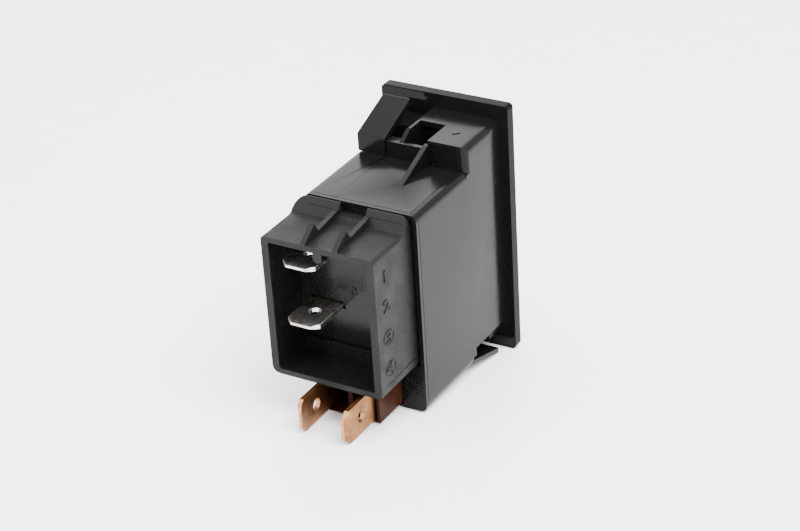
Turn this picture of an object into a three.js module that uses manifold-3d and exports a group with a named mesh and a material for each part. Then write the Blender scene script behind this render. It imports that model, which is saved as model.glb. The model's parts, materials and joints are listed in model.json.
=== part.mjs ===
// Panel rocker switch with a plug-in relay cartridge in its back.
// Millimetres. Origin: middle of the panel cut-out, on the plane where the bezel meets the panel.
// -Y is the front that the hand reaches, +Y the wiring side, +Z up.
import * as THREE from 'three';
import { mergeVertices } from 'three/addons/utils/BufferGeometryUtils.js';
import Module from 'manifold-3d';

const wasm = await Module();
wasm.setup();

// ---- driving dimensions -------------------------------------------------------------------------
const GAP = 0.3;              // air between pieces that touch or are held in each other
const THROUGH = 3;            // how far a cutting solid runs past the face that it cuts

const CUTOUT_W = 22;          // panel cut-out that the housing fills
const CUTOUT_H = 44;
const PLAY_X = 0.2;           // play on each side of the cut-out
const PLAY_Z = 0.4;           // and above and below
const BEZEL_LIP_X = 1.5;      // how far the bezel covers the panel beside the cut-out
const BEZEL_LIP_Z = 2.2;      // and above and below it
const BEZEL_T = 2;
const BEZEL_R = 0.9;          // corner radius of the bezel

const BODY_REAR = 29.5;       // end of the housing behind the panel
const DECK_DROP = 4.6;        // from the collar's top down to the deck behind it
const FLOOR_RISE = 0.6;       // from the collar's underside up to the floor behind it
const SIDE_WALL = 0.8;
const FLOOR_WALL = 0.5;
const REAR_WALL = 1.2;
const EDGE_R = 1.5;           // rounding of the long edges
const COLLAR_Y = 12.2;        // rear face of the raised collar
const COLLAR_WALL = 1;
const COLLAR_END = 2.3;       // the collar's end, past the middle of the body
const COLLAR_SLOPE = 3.6;     // length of the slope at the collar's end
const WINDOW_EDGE = 3.5;      // other side of the collar's window
const WINDOW_Y = 5.6;         // front edge of the collar's window
const STEP_T = 2;             // thickness of the step wall behind the window
const STEP_DROP = 1.6;        // from the collar's top down to the step wall
const POCKET_Y = 0.8;         // front end of the pockets that the latches flex into
const POCKET_H = 3;           // height of the lower pocket
const GUSSET_X = -2.9;
const GUSSET_T = 0.9;
const GUSSET_Y = 20.9;        // where the gusset runs out on the deck
const GUSSET_DROP = 1.2;      // from the collar's top down to the gusset

const WELL_SIDE = 1.4;        // from the body's side to the opening for the rocker button
const WELL_END = 2.4;         // from the collar's top to that opening
const WELL_WALL = 0.6;
const WELL_Y = 5.2;           // depth of the well's closed ends
const BOSS_R = 2.8;
const BOSS_L = 1.9;           // how far the pivot's bosses stand in from the side walls

const LATCH_IN = 5;           // inner side of a latch
const LATCH_SIDE = 0.3;       // from its outer side to the body's side
const LATCH_T = 1.1;
const LATCH_FRONT = 2.8;      // free edge of a latch
const LATCH_RISE = 2.3;       // how far the free edge stands above the collar
const LATCH_ROOT = 1.1;       // how far its root lies below the collar's top

const ROCKER_PLAY = 0.3;      // play on each side of the rocker button
const ROCKER_SWING = 14;      // degrees from off to on
const ROCKER_FACE = 6;        // how far its ends stand in front of the panel
const ROCKER_DIP = 1.6;       // how far its middle is below its ends
const ROCKER_WALL = 1.4;
const EAR_IN = 5.8;           // inner side of the ears that the pivot pin runs through
const EAR_T = 1.4;
const PIVOT_Y = 4.6;
const PIN_R = 1;
const FOOT_Y = 2.6;           // rear face of the foot that pushes the plunger
const FOOT_H = 1.5;           // half its height
const FOOT_PLAY = 0.17;
const LENS_X = 2.6;
const LENS_END = 5.9;         // from the button's end to the lens
const LENS_H = 5;
const LAMP_R = 1.9;

const BLADE_W = 6.3;          // standard blade
const BLADE_T = 0.8;
const BLADE_TIP = 1.2;        // chamfer at a blade's tip
const BLADE_HOLE_R = 1.1;
const BLADE_COIN = 0.1;       // how much thinner a blade's root is on each face

const SHROUD_OFFSET = 1.3;    // the cartridge sits this far to the left
const SHROUD_L = 11.9;        // how far the shroud stands out of the housing
const SHROUD_INSET = 3;       // from the housing's end to the shroud's inner back wall
const SHROUD_DROP = 2.6;      // from the deck down to the shroud's top
const SHROUD_SIDE_WALL = 1.4;
const SHROUD_WALL = 1;        // its top and floor
const FLANGE_DROP = 0.1;      // from the deck down to the top of the flange
const FLANGE_SLOPE = 2;       // how far the flange's face leans back
const FLANGE_R = 3;
const NOTCH_H = 1.8;          // depth of the flange's notch between the ribs
const RIB_X = [3.3, -2.8];    // right side of each keying rib
const RIB_T = 0.9;
const RELAY_BLADE_SIDE = 1.9; // from the shroud's left inner wall to the blades
const RELAY_BLADE_DROP = [4.7, 15.7];   // from the shroud's top down to each blade
const RELAY_HOLE = 4.7;       // hole centre to tip

const SWITCH_X = -0.2;        // middle of the switch's base and contacts
const BASE_W = 11.4;          // brown switch base
const BASE_GRIP = 5;          // length of the solid part that grips the blades
const BASE_INSET = 7.5;       // how far the base reaches into the housing
const BASE_OUT = 7.4;         // how far it stands out behind
const BASE_WALL = 0.6;
const BASE_RIB = 1;           // rib between the two copper blades
const BASE_FLOOR = 0.4;
const BASE_ABOVE = 0.7;       // from the copper blades' upper edge to the base's top
const COPPER_X = 4.4;         // from the base's middle to each copper blade's middle plane
const COPPER_OUT = 16.8;      // how far the copper blades stand out behind the housing
const COPPER_HOLE = 5;        // hole centre to tip
const BRIDGE_RISE = 1.7;      // from the floor up to the contact bridge
const BRIDGE_H = 2.4;
const BUTTON_R = 1.1;
const BUTTON_H = 0.6;
const CONTACT_GAP = 0.3;      // air that is left between the closed contacts
const PUSH_RISE = 6.5;        // from the floor up to the foot that pushes the plunger
const PLUNGER_X = 3.2;
const SPRING_R = 1.3;         // outside of the plunger's spring
const SPRING_WIRE_R = 0.2;

const COVER_FRONT = 9.2;
const COVER_WALL = 0.8;
const SPLIT_INSET = 4.8;      // from the housing's end to the joint of relay cover and shroud
const BOARD_T = 1.4;
const COIL_MARGIN = [7.5, 4.9]; // from the cover's floor and ceiling to the coil bobbin
const CORE_R = 1.6;
const TUBE_T = 0.8;           // wall of the bobbin's tube
const PLATE_T = 1.1;          // yoke and armature plate
const ARMATURE_SWING = 4;     // degrees from open to closed
const CONTACT_R = 0.7;
const CHIP = [2.8, 3.3, 8];
const CAPACITOR_R = 2.5;
const CAPACITOR_L = 7.5;
const RESISTOR_R = 1.1;
const RESISTOR_L = 7;

// ---- sizes that follow --------------------------------------------------------------------------
const BEZEL_W = CUTOUT_W + 2 * BEZEL_LIP_X;
const BEZEL_H = CUTOUT_H + 2 * BEZEL_LIP_Z;
const SIDE = CUTOUT_W / 2 - PLAY_X;
const SIDE_IN = SIDE - SIDE_WALL;
const COLLAR_Z = CUTOUT_H / 2 - PLAY_Z;
const DECK_Z = COLLAR_Z - DECK_DROP;
const DECK_IN = DECK_Z - SIDE_WALL;
const FLOOR_Z = FLOOR_RISE - COLLAR_Z;
const FLOOR_IN = FLOOR_Z + FLOOR_WALL;
const STEP_Z = COLLAR_Z - STEP_DROP;
const LATCH_OUT = SIDE - LATCH_SIDE;
const LATCH_TIP_Z = COLLAR_Z + LATCH_RISE;
const LATCH_ROOT_Z = COLLAR_Z - LATCH_ROOT;

const WELL_X = SIDE - WELL_SIDE;
const WELL_Z = COLLAR_Z - WELL_END;
const ROCKER_X = WELL_X - ROCKER_PLAY;
const ROCKER_TILT = THREE.MathUtils.degToRad(ROCKER_SWING / 2);
const ROCKER_END = WELL_Z - (ROCKER_FACE + PIVOT_Y) * Math.sin(ROCKER_TILT);
const LENS_HIGH = ROCKER_END - LENS_END;
const LENS_LOW = LENS_HIGH - LENS_H;
const PUSH_Z = FLOOR_IN + PUSH_RISE;
const PUSH_TRAVEL = -PUSH_Z * THREE.MathUtils.degToRad(ROCKER_SWING);
const LAMP_Z = (LENS_LOW + LENS_HIGH) / 2;

const BLADE_LOW = FLOOR_IN + GAP + BASE_FLOOR + GAP;   // lower edge of the copper blades
const BLADE_MIDDLE = BLADE_LOW + BLADE_W / 2;
const BASE_TOP = BLADE_LOW + BLADE_W + BASE_ABOVE;
const BASE_FRONT = BODY_REAR - BASE_INSET;
const BASE_REAR = BODY_REAR + BASE_OUT;
const BASE_BODY = BASE_FRONT + BASE_GRIP;
const COPPER_TIP = BODY_REAR + COPPER_OUT;
const BRIDGE_LOW = FLOOR_IN + BRIDGE_RISE;
const BRIDGE_HIGH = BRIDGE_LOW + BRIDGE_H;
const BRIDGE_Z = (BRIDGE_LOW + BRIDGE_HIGH) / 2;

const SHROUD_LEFT = SIDE + SHROUD_OFFSET;
const SHROUD_RIGHT = SHROUD_OFFSET - SIDE;
const SHROUD_TOP = DECK_Z - SHROUD_DROP;
const SHROUD_FLOOR = BASE_TOP + 2 * GAP;
const SHROUD_BACK = BODY_REAR + SHROUD_INSET;
const SHROUD_REAR = BODY_REAR + SHROUD_L;
const FLANGE_TOP = DECK_Z - FLANGE_DROP;
const FLANGE_Y = BODY_REAR + GAP;
const RELAY_BLADE_X = SHROUD_LEFT - SHROUD_SIDE_WALL - RELAY_BLADE_SIDE - BLADE_W / 2;
const RELAY_BLADE_Z = RELAY_BLADE_DROP.map((drop) => SHROUD_TOP - drop);

const CARTRIDGE_LEFT = SIDE_IN - GAP;
const CARTRIDGE_TOP = DECK_IN - GAP;
const CARTRIDGE_SPLIT = BODY_REAR - SPLIT_INSET;
const COVER_LEFT = CARTRIDGE_LEFT - COVER_WALL;        // inner faces of the relay cover
const COVER_RIGHT = SHROUD_RIGHT + COVER_WALL;
const COVER_TOP = CARTRIDGE_TOP - COVER_WALL;
const COVER_FLOOR = SHROUD_FLOOR + COVER_WALL;
const BOARD_REAR = CARTRIDGE_SPLIT - 2 * GAP;
const BOARD_FACE = BOARD_REAR - BOARD_T - GAP;         // where the parts on the board end

// ---- solids -------------------------------------------------------------------------------------
function solidOf(geometry) {
  geometry.deleteAttribute('normal');
  geometry.deleteAttribute('uv');
  const merged = mergeVertices(geometry, 1e-4);
  return new wasm.Manifold(new wasm.Mesh({
    numProp: 3,
    vertProperties: new Float32Array(merged.attributes.position.array),
    triVerts: new Uint32Array(merged.index.array),
  }));
}

function geometryOf(solid) {
  const { vertProperties, triVerts } = solid.getMesh();
  const geometry = new THREE.BufferGeometry();
  geometry.setAttribute('position', new THREE.BufferAttribute(new Float32Array(vertProperties), 3));
  geometry.setIndex(new THREE.BufferAttribute(new Uint32Array(triVerts), 1));
  geometry.computeVertexNormals();
  return geometry;
}

const join = (first, ...others) => others.reduce((sum, solid) => sum.add(solid), first);
const cut = (first, ...others) => others.reduce((rest, solid) => rest.subtract(solid), first);

// Box between two corners.
function block([x0, y0, z0], [x1, y1, z1]) {
  const box = new THREE.BoxGeometry(x1 - x0, y1 - y0, z1 - z0);
  return solidOf(box.translate((x0 + x1) / 2, (y0 + y1) / 2, (z0 + z1) / 2));
}

// Outline with corners [x, y, radius]; a radius of 0 keeps the corner sharp.
function outline(corners) {
  const shape = new THREE.Shape();
  const count = corners.length;
  corners.forEach(([x, y, radius = 0], i) => {
    const corner = new THREE.Vector2(x, y);
    const before = new THREE.Vector2(...corners[(i + count - 1) % count]).sub(corner).normalize();
    const after = new THREE.Vector2(...corners[(i + 1) % count]).sub(corner).normalize();
    const half = Math.acos(THREE.MathUtils.clamp(before.dot(after), -1, 1)) / 2;
    const reach = radius / Math.tan(half);
    const start = corner.clone().addScaledVector(before, reach);
    const end = corner.clone().addScaledVector(after, reach);
    if (i === 0) shape.moveTo(start.x, start.y);
    else shape.lineTo(start.x, start.y);
    if (radius > 0) shape.quadraticCurveTo(x, y, end.x, end.y);
  });
  shape.closePath();
  return shape;
}

function rectangle(x0, y0, x1, y1, radii = [0, 0, 0, 0]) {
  return outline([[x0, y0, radii[0]], [x1, y0, radii[1]], [x1, y1, radii[2]], [x0, y1, radii[3]]]);
}

const extruded = (shape, depth) => new THREE.ExtrudeGeometry(shape, {
  depth, bevelEnabled: false, curveSegments: 6,
});

// Outline in X and Z, running from y0 to y1.
function alongY(shape, y0, y1) {
  return solidOf(extruded(shape, y1 - y0).rotateX(Math.PI / 2).translate(0, y1, 0));
}

// Outline in Y and Z, running from x0 to x1.
function alongX(shape, x0, x1) {
  const turn = new THREE.Matrix4().makeBasis(
    new THREE.Vector3(0, 1, 0), new THREE.Vector3(0, 0, 1), new THREE.Vector3(1, 0, 0));
  return solidOf(extruded(shape, x1 - x0).applyMatrix4(turn).translate(x0, 0, 0));
}

// Outline in X and Y, running from z0 to z1.
const alongZ = (shape, z0, z1) => solidOf(extruded(shape, z1 - z0).translate(0, 0, z0));

// Round bar along 'x', 'y' or 'z' through the point, from one value to another on that axis.
function bar(axis, [x, y, z], from, to, radius, sides = 24) {
  const geometry = new THREE.CylinderGeometry(radius, radius, to - from, sides);
  const middle = (from + to) / 2;
  if (axis === 'x') geometry.rotateZ(Math.PI / 2).translate(middle, y, z);
  if (axis === 'y') geometry.translate(x, middle, z);
  if (axis === 'z') geometry.rotateX(Math.PI / 2).translate(x, y, middle);
  return solidOf(geometry);
}

// The same piece turned half a turn about the Y axis.
const halfTurn = (solid) => solid.rotate([0, 180, 0]);

// The same piece on the other side of the middle plane.
const mirrored = (solid) => solid.mirror([1, 0, 0]);

// ---- housing ------------------------------------------------------------------------------------
// Raised collar on the top; the one underneath is the same, turned half a turn.
function collar() {
  const body = alongY(
    rectangle(-SIDE, 0, COLLAR_END, COLLAR_Z, [0, 0, 0.4, EDGE_R]), -BEZEL_T / 2, COLLAR_Y);
  const stepWall = block([-SIDE + EDGE_R, COLLAR_Y - STEP_T, 0], [LATCH_IN - GAP, COLLAR_Y, STEP_Z]);
  const endSlope = alongX(outline([
    [COLLAR_Y - COLLAR_SLOPE, COLLAR_Z + GAP], [COLLAR_Y + THROUGH, COLLAR_Z + GAP],
    [COLLAR_Y + THROUGH, STEP_Z - 0.2], [COLLAR_Y, STEP_Z - 0.2],
  ]), -WINDOW_EDGE, COLLAR_END + THROUGH);
  return join(cut(body, endSlope), stepWall);
}

// Space inside one collar, and its window.
function collarHollow() {
  const inside = block([-SIDE_IN, -BEZEL_T / 4, 0],
    [COLLAR_END - SIDE_WALL, COLLAR_Y - SIDE_WALL, COLLAR_Z - COLLAR_WALL]);
  const window = block([-WINDOW_EDGE, WINDOW_Y, STEP_Z - SIDE_WALL],
    [COLLAR_END - SIDE_WALL, COLLAR_Y - STEP_T, COLLAR_Z + THROUGH]);
  const behindWindow = block([-WINDOW_EDGE, COLLAR_Y - STEP_T, STEP_Z],
    [COLLAR_END - SIDE_WALL, COLLAR_Y + THROUGH, COLLAR_Z + THROUGH]);
  return join(inside, window, behindWindow);
}

// Pocket beside each collar that its latch flexes into, open at the body's side underneath.
function latchPockets() {
  const upper = block([COLLAR_END, POCKET_Y, DECK_IN - 2],
    [SIDE_IN, COLLAR_Y - STEP_T, COLLAR_Z + THROUGH]);
  const lower = block([-SIDE - THROUGH, POCKET_Y, FLOOR_Z - THROUGH],
    [-COLLAR_END, COLLAR_Y - SIDE_WALL, FLOOR_Z + POCKET_H]);
  const armSlot = block([-SIDE - THROUGH, POCKET_Y, FLOOR_Z - THROUGH],
    [GAP - LATCH_IN, COLLAR_Y + GAP, FLOOR_IN + 1]);
  return [upper, lower, armSlot];
}

// Boss that the pivot pin sits in, on one side (-1 or 1).
function pivotBoss(side) {
  const root = side * (SIDE_IN + SIDE_WALL / 4);
  const end = side * (SIDE_IN - BOSS_L);
  return bar('x', [0, PIVOT_Y, 0], Math.min(root, end), Math.max(root, end), BOSS_R);
}

function housing() {
  const bezel = alongY(rectangle(-BEZEL_W / 2, -BEZEL_H / 2, BEZEL_W / 2, BEZEL_H / 2,
    [BEZEL_R, BEZEL_R, BEZEL_R, BEZEL_R]), -BEZEL_T, 0);
  const body = alongY(rectangle(-SIDE, FLOOR_Z, SIDE, DECK_Z, [EDGE_R, EDGE_R, EDGE_R, EDGE_R]),
    -BEZEL_T / 2, BODY_REAR);
  const gusset = alongX(outline([
    [COLLAR_Y - 1, DECK_Z - 0.5], [GUSSET_Y, DECK_Z - 0.5], [GUSSET_Y, DECK_Z],
    [COLLAR_Y, COLLAR_Z - GUSSET_DROP], [COLLAR_Y - 1, COLLAR_Z - GUSSET_DROP],
  ]), GUSSET_X - GUSSET_T / 2, GUSSET_X + GUSSET_T / 2);
  const shell = join(bezel, body, collar(), halfTurn(collar()));

  const rear = BODY_REAR - REAR_WALL;
  const mainHollow = block([-SIDE_IN, WELL_Y - WELL_WALL, FLOOR_IN], [SIDE_IN, rear, DECK_IN]);
  const cartridgeMouth = block([-SIDE_IN, rear - 1, SHROUD_FLOOR - GAP],
    [SIDE_IN, BODY_REAR + THROUGH, DECK_IN]);
  const baseMouth = block([SWITCH_X - BASE_W / 2 - GAP, rear - 1, FLOOR_IN],
    [SWITCH_X + BASE_W / 2 + GAP, BODY_REAR + THROUGH, SHROUD_FLOOR]);
  const hollowed = cut(shell, collarHollow(), halfTurn(collarHollow()), ...latchPockets(),
    mainHollow, cartridgeMouth, baseMouth);

  const wellX = WELL_X + WELL_WALL;
  const wellZ = WELL_Z + WELL_WALL;
  const well = alongY(rectangle(-wellX, -wellZ, wellX, wellZ), -BEZEL_T / 2, WELL_Y);
  const wellHollow = block([-WELL_X, -BEZEL_T - THROUGH, -WELL_Z], [WELL_X, WELL_Y - WELL_WALL, WELL_Z]);
  const wellBack = block([-WELL_X, 0, FLOOR_IN + 4.2], [WELL_X, WELL_Y + THROUGH, DECK_IN]);
  const pinSeat = bar('x', [0, PIVOT_Y, 0], -SIDE_IN, SIDE_IN, PIN_R + GAP);
  const open = cut(join(hollowed, well, gusset), wellHollow, wellBack);
  return cut(join(open, pivotBoss(-1), pivotBoss(1)), pinSeat);
}

// ---- latches ------------------------------------------------------------------------------------
// Sloping arm on the top, standing on a leg at the back; its free edge grips the panel.
function topLatch() {
  const legFront = COLLAR_Y - LATCH_T - 0.1;
  const shape = outline([
    [LATCH_FRONT, LATCH_TIP_Z - LATCH_T], [legFront, LATCH_ROOT_Z - LATCH_T], [legFront, DECK_Z + GAP],
    [COLLAR_Y, DECK_Z + GAP], [COLLAR_Y, LATCH_ROOT_Z - 0.1, 0.5], [LATCH_FRONT, LATCH_TIP_Z, 0.2],
  ]);
  return alongX(shape, LATCH_IN, LATCH_OUT);
}

// Straight sloping arm underneath, growing out of the edge of the floor.
function bottomLatch() {
  const shape = outline([
    [LATCH_FRONT, -LATCH_TIP_Z + LATCH_T], [LATCH_FRONT, -LATCH_TIP_Z, 0.2],
    [COLLAR_Y, FLOOR_Z], [COLLAR_Y, FLOOR_IN],
  ]);
  return alongX(shape, -LATCH_OUT, -LATCH_IN);
}

// ---- rocker button ------------------------------------------------------------------------------
// Y of the rocker's face at a height, before it is tipped.
const rockerFace = (z) => -ROCKER_FACE + ROCKER_DIP * (1 - Math.abs(z) / ROCKER_END);

// The cap's outline, or, with a wall, the outline of the hollow inside it.
function rockerProfile(wall) {
  const end = ROCKER_END - wall;
  const round = wall ? 0 : 0.8;
  const back = wall ? THROUGH : 0.2;
  return outline([
    [rockerFace(ROCKER_END) + wall, end, round], [rockerFace(0) + wall, 0],
    [rockerFace(ROCKER_END) + wall, -end, round],
    [back, -end], [Math.max(back, 1.2), 0], [back, end],
  ]);
}

function rockerButton() {
  const cap = alongX(rockerProfile(0), -ROCKER_X, ROCKER_X);
  const hollow = alongX(rockerProfile(ROCKER_WALL), -ROCKER_X + ROCKER_WALL, ROCKER_X - ROCKER_WALL);
  const ear = alongX(outline([
    [-4, -4], [PIVOT_Y, -BOSS_R], [PIVOT_Y + BOSS_R, -BOSS_R, 2], [PIVOT_Y + BOSS_R, BOSS_R, 2],
    [PIVOT_Y, BOSS_R], [-4, 4],
  ]), EAR_IN, EAR_IN + EAR_T);
  const foot = block([-2, rockerFace(PUSH_Z) + 0.8, PUSH_Z - FOOT_H], [2, FOOT_Y, PUSH_Z + FOOT_H]);
  const lensHole = block([-LENS_X - GAP, -ROCKER_FACE - 1, LENS_LOW - GAP],
    [LENS_X + GAP, 0, LENS_HIGH + GAP]);
  const pinHole = bar('x', [0, PIVOT_Y, 0], -SIDE, SIDE, PIN_R + GAP);
  return cut(join(cut(cap, hollow), ear, mirrored(ear), foot), lensHole, pinHole);
}

function symbolLens() {
  const shape = outline([
    [rockerFace(LENS_LOW) + 0.15, LENS_LOW], [2 + rockerFace(LENS_LOW), LENS_LOW],
    [2 + rockerFace(LENS_HIGH), LENS_HIGH], [rockerFace(LENS_HIGH) + 0.15, LENS_HIGH],
  ]);
  return alongX(shape, -LENS_X, LENS_X);
}

// ---- switch contacts ----------------------------------------------------------------------------
// The plunger's face meets the tilted rocker's foot here.
const PLUNGER_FRONT = PIVOT_Y + (FOOT_Y - PIVOT_Y) * Math.cos(ROCKER_TILT)
  + (PUSH_Z + FOOT_H) * Math.sin(ROCKER_TILT) + FOOT_PLAY;
const PLUNGER_REAR = 13.7;
const SPRING_SEAT = 6.5;
const PAD_Y = PLUNGER_REAR + GAP + BLADE_T + 2 * BUTTON_H + PUSH_TRAVEL + CONTACT_GAP;

function contactPlunger() {
  const top = PUSH_Z + 1.4;
  const stem = block([-2.4, PLUNGER_FRONT, PUSH_Z - 1.6], [2.4, 8, top]);
  const head = block([-PLUNGER_X, 6, BRIDGE_LOW - GAP], [PLUNGER_X, PLUNGER_REAR, top]);
  const relief = block([-PLUNGER_X - 1, 5, BRIDGE_LOW - 1], [PLUNGER_X + 1, 9, BRIDGE_HIGH + 0.6]);
  const bore = bar('y', [0, 0, PUSH_Z], SPRING_SEAT, PLUNGER_REAR + 1, SPRING_R + GAP);
  return cut(join(stem, head), relief, bore).translate([SWITCH_X, 0, 0]);
}

const BUTTON_X = COPPER_X - 0.9;

function contactBridge() {
  const front = PLUNGER_REAR + GAP;
  const half = COPPER_X + 1.6;
  const back = front + BLADE_T;
  const strip = block([-half, front, BRIDGE_LOW], [half, back, BRIDGE_HIGH]);
  const button = (x) => bar('y', [x, 0, BRIDGE_Z], front + 0.2, back + BUTTON_H, BUTTON_R, 16);
  return join(strip, button(-BUTTON_X), button(BUTTON_X)).translate([SWITCH_X, 0, 0]);
}

// Helix of round wire along Y.
function coilSpring([x, y, z], length, radius, wire, turns) {
  class Helix extends THREE.Curve {
    getPoint(t) {
      const turn = t * turns * 2 * Math.PI;
      return new THREE.Vector3(x + radius * Math.cos(turn), y + wire + t * (length - 2 * wire),
        z + radius * Math.sin(turn));
    }
  }
  const section = new THREE.Shape().absarc(0, 0, wire, 0, 2 * Math.PI);
  return new THREE.ExtrudeGeometry(section, {
    steps: turns * 12, extrudePath: new Helix(), curveSegments: 3, bevelEnabled: false,
  });
}

// The plunger's spring at its compressed length.
function plungerSpring() {
  const front = SPRING_SEAT + PUSH_TRAVEL + GAP;
  return coilSpring([SWITCH_X, front, PUSH_Z], BASE_FRONT - GAP - front, SPRING_R - SPRING_WIRE_R,
    SPRING_WIRE_R, 9);
}

// Blade in X and Y with a chamfered tip and a hole, its middle at height 0. Its root is coined
// thinner up to the plane where it leaves its base.
function blade(root, seat, tip, hole) {
  const half = BLADE_W / 2;
  const shape = outline([
    [-half, seat], [half, seat], [half, tip - BLADE_TIP], [half - BLADE_TIP, tip],
    [BLADE_TIP - half, tip], [-half, tip - BLADE_TIP],
  ]);
  shape.holes.push(new THREE.Path().absarc(0, tip - hole, BLADE_HOLE_R, 0, 2 * Math.PI));
  const thin = BLADE_T / 2 - BLADE_COIN;
  const coined = block([-half, root, -thin], [half, seat + 0.2, thin]);
  return join(alongZ(shape, -BLADE_T / 2, BLADE_T / 2), coined);
}

// Copper terminal on one side (-1 or 1): blade, narrow neck and bent contact pad.
function copperTerminal(side) {
  const upright = blade(BASE_FRONT + GAP, BASE_REAR + GAP, COPPER_TIP, COPPER_HOLE)
    .rotate([0, 90, 0]).translate([COPPER_X, 0, BLADE_MIDDLE]);
  const thin = BLADE_T / 2 - BLADE_COIN;
  const neck = block([COPPER_X - thin, PAD_Y, BLADE_LOW + 0.3],
    [COPPER_X + thin, BASE_FRONT + 1, BRIDGE_HIGH + 0.2]);
  const bent = block([COPPER_X - 2.2, PAD_Y, BRIDGE_LOW], [COPPER_X, PAD_Y + BLADE_T, BRIDGE_HIGH]);
  const button = bar('y', [BUTTON_X, 0, BRIDGE_Z], PAD_Y - BUTTON_H, PAD_Y + 0.2, BUTTON_R, 16);
  const whole = join(upright, neck, bent, button);
  return (side > 0 ? whole : mirrored(whole)).translate([SWITCH_X, 0, 0]);
}

function switchBase() {
  const floor = FLOOR_IN + GAP;
  const outer = block([-BASE_W / 2, BASE_FRONT, floor], [BASE_W / 2, BASE_REAR, BASE_TOP]);
  const channel = block([BASE_RIB / 2, BASE_BODY, floor + BASE_FLOOR],
    [BASE_W / 2 - BASE_WALL, BASE_REAR + THROUGH, BASE_TOP + THROUGH]);
  const slot = block([COPPER_X - BLADE_T / 2 - GAP, BASE_FRONT - 1, BLADE_LOW - GAP],
    [COPPER_X + BLADE_T / 2 + GAP, BASE_BODY + 1, BLADE_LOW + BLADE_W + GAP]);
  const rail = block([PLUNGER_X + GAP, 8, PUSH_Z - 1.4], [PLUNGER_X + 1.5, BASE_FRONT + 0.5, BASE_TOP]);
  const whole = cut(join(outer, rail, mirrored(rail)), channel, mirrored(channel), slot, mirrored(slot));
  return whole.translate([SWITCH_X, 0, 0]);
}

// ---- relay cartridge ----------------------------------------------------------------------------
const bladeSlot = (z) => block(
  [RELAY_BLADE_X - BLADE_W / 2 - GAP, CARTRIDGE_SPLIT - 1, z - BLADE_T / 2 - GAP],
  [RELAY_BLADE_X + BLADE_W / 2 + GAP, SHROUD_BACK + 1, z + BLADE_T / 2 + GAP]);

// Keying rib on the shroud: a ramp at the rear edge, a notch, then a bar rising to the flange.
function keyRib(x) {
  const foot = SHROUD_TOP - 0.4;
  const ramp = outline([
    [SHROUD_REAR, foot], [SHROUD_REAR, SHROUD_TOP + 0.4], [SHROUD_REAR - 3.2, SHROUD_TOP + 2.5],
    [SHROUD_REAR - 4.6, SHROUD_TOP + 0.2], [SHROUD_REAR - 4.6, foot],
  ]);
  const rising = outline([
    [SHROUD_REAR - 4.4, foot], [SHROUD_REAR - 4.4, SHROUD_TOP + 0.8],
    [FLANGE_Y + 0.2, FLANGE_TOP - 0.9], [FLANGE_Y + 0.2, foot],
  ]);
  return join(alongX(ramp, x, x + RIB_T), alongX(rising, x, x + RIB_T));
}

function cartridgeShroud() {
  const plug = alongY(rectangle(SHROUD_RIGHT, SHROUD_FLOOR, CARTRIDGE_LEFT, CARTRIDGE_TOP,
    [0.6, 0.6, 1, 1]), CARTRIDGE_SPLIT, FLANGE_Y + 1);
  const flangeFace = rectangle(SHROUD_RIGHT, SHROUD_FLOOR, SHROUD_LEFT, FLANGE_TOP,
    [0.8, 1.6, FLANGE_R, 1.4]);
  const lean = alongX(outline([
    [FLANGE_Y, FLANGE_TOP + 1], [FLANGE_Y, SHROUD_FLOOR - 1], [SHROUD_BACK + 1, SHROUD_FLOOR - 1],
    [SHROUD_BACK + 1, SHROUD_TOP - 1], [FLANGE_Y + FLANGE_SLOPE, SHROUD_TOP], [FLANGE_Y + 0.2, FLANGE_TOP],
    [FLANGE_Y + 0.2, FLANGE_TOP + 1],
  ]), SHROUD_RIGHT - 1, SHROUD_LEFT + 1);
  const flange = alongY(flangeFace, FLANGE_Y, SHROUD_BACK + 1).intersect(lean);
  const shroud = alongY(rectangle(SHROUD_RIGHT, SHROUD_FLOOR, SHROUD_LEFT, SHROUD_TOP,
    [0.8, 1.6, 0.8, 0.9]), FLANGE_Y + 1, SHROUD_REAR);
  const cavity = alongY(rectangle(SHROUD_RIGHT + SHROUD_SIDE_WALL, SHROUD_FLOOR + SHROUD_WALL,
    SHROUD_LEFT - SHROUD_SIDE_WALL, SHROUD_TOP - SHROUD_WALL, [0.3, 0.6, 0.3, 0.3]),
    SHROUD_BACK, SHROUD_REAR + THROUGH);
  const notch = block([RIB_X[1] + RIB_T, FLANGE_Y - 1, FLANGE_TOP - NOTCH_H],
    [RIB_X[0], SHROUD_BACK, FLANGE_TOP + 1]);
  const ceiling = SHROUD_TOP - SHROUD_WALL;
  const lug = alongY(rectangle(0.6, ceiling - 2, 2.3, SHROUD_TOP - 0.5, [0.7, 0.7, 0, 0]),
    SHROUD_REAR - 3.2, SHROUD_REAR - 0.4);
  const ledge = block([SHROUD_RIGHT + 4, SHROUD_BACK - 1, SHROUD_FLOOR + 0.5],
    [SHROUD_LEFT - 1, SHROUD_BACK + 0.9, SHROUD_FLOOR + SHROUD_WALL + 2.4]);
  const body = join(cut(join(plug, flange, shroud), cavity), lug, ledge, ...RIB_X.map(keyRib));
  return cut(body, notch, ...RELAY_BLADE_Z.map(bladeSlot));
}

// Outline of the cartridge inside the housing, drawn in by some distance.
const cartridgeOutline = (inset) => rectangle(SHROUD_RIGHT + inset, SHROUD_FLOOR + inset,
  CARTRIDGE_LEFT - inset, CARTRIDGE_TOP - inset, [0.8, 0.8, 0.8, 0.8]);

function relayCover() {
  const outer = alongY(cartridgeOutline(0), COVER_FRONT, CARTRIDGE_SPLIT - GAP);
  return cut(outer, alongY(cartridgeOutline(COVER_WALL), COVER_FRONT + COVER_WALL, CARTRIDGE_SPLIT + 1));
}

const relayBlade = (z) => blade(CARTRIDGE_SPLIT, SHROUD_BACK + GAP, SHROUD_REAR, RELAY_HOLE)
  .translate([RELAY_BLADE_X, 0, z]);

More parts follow.
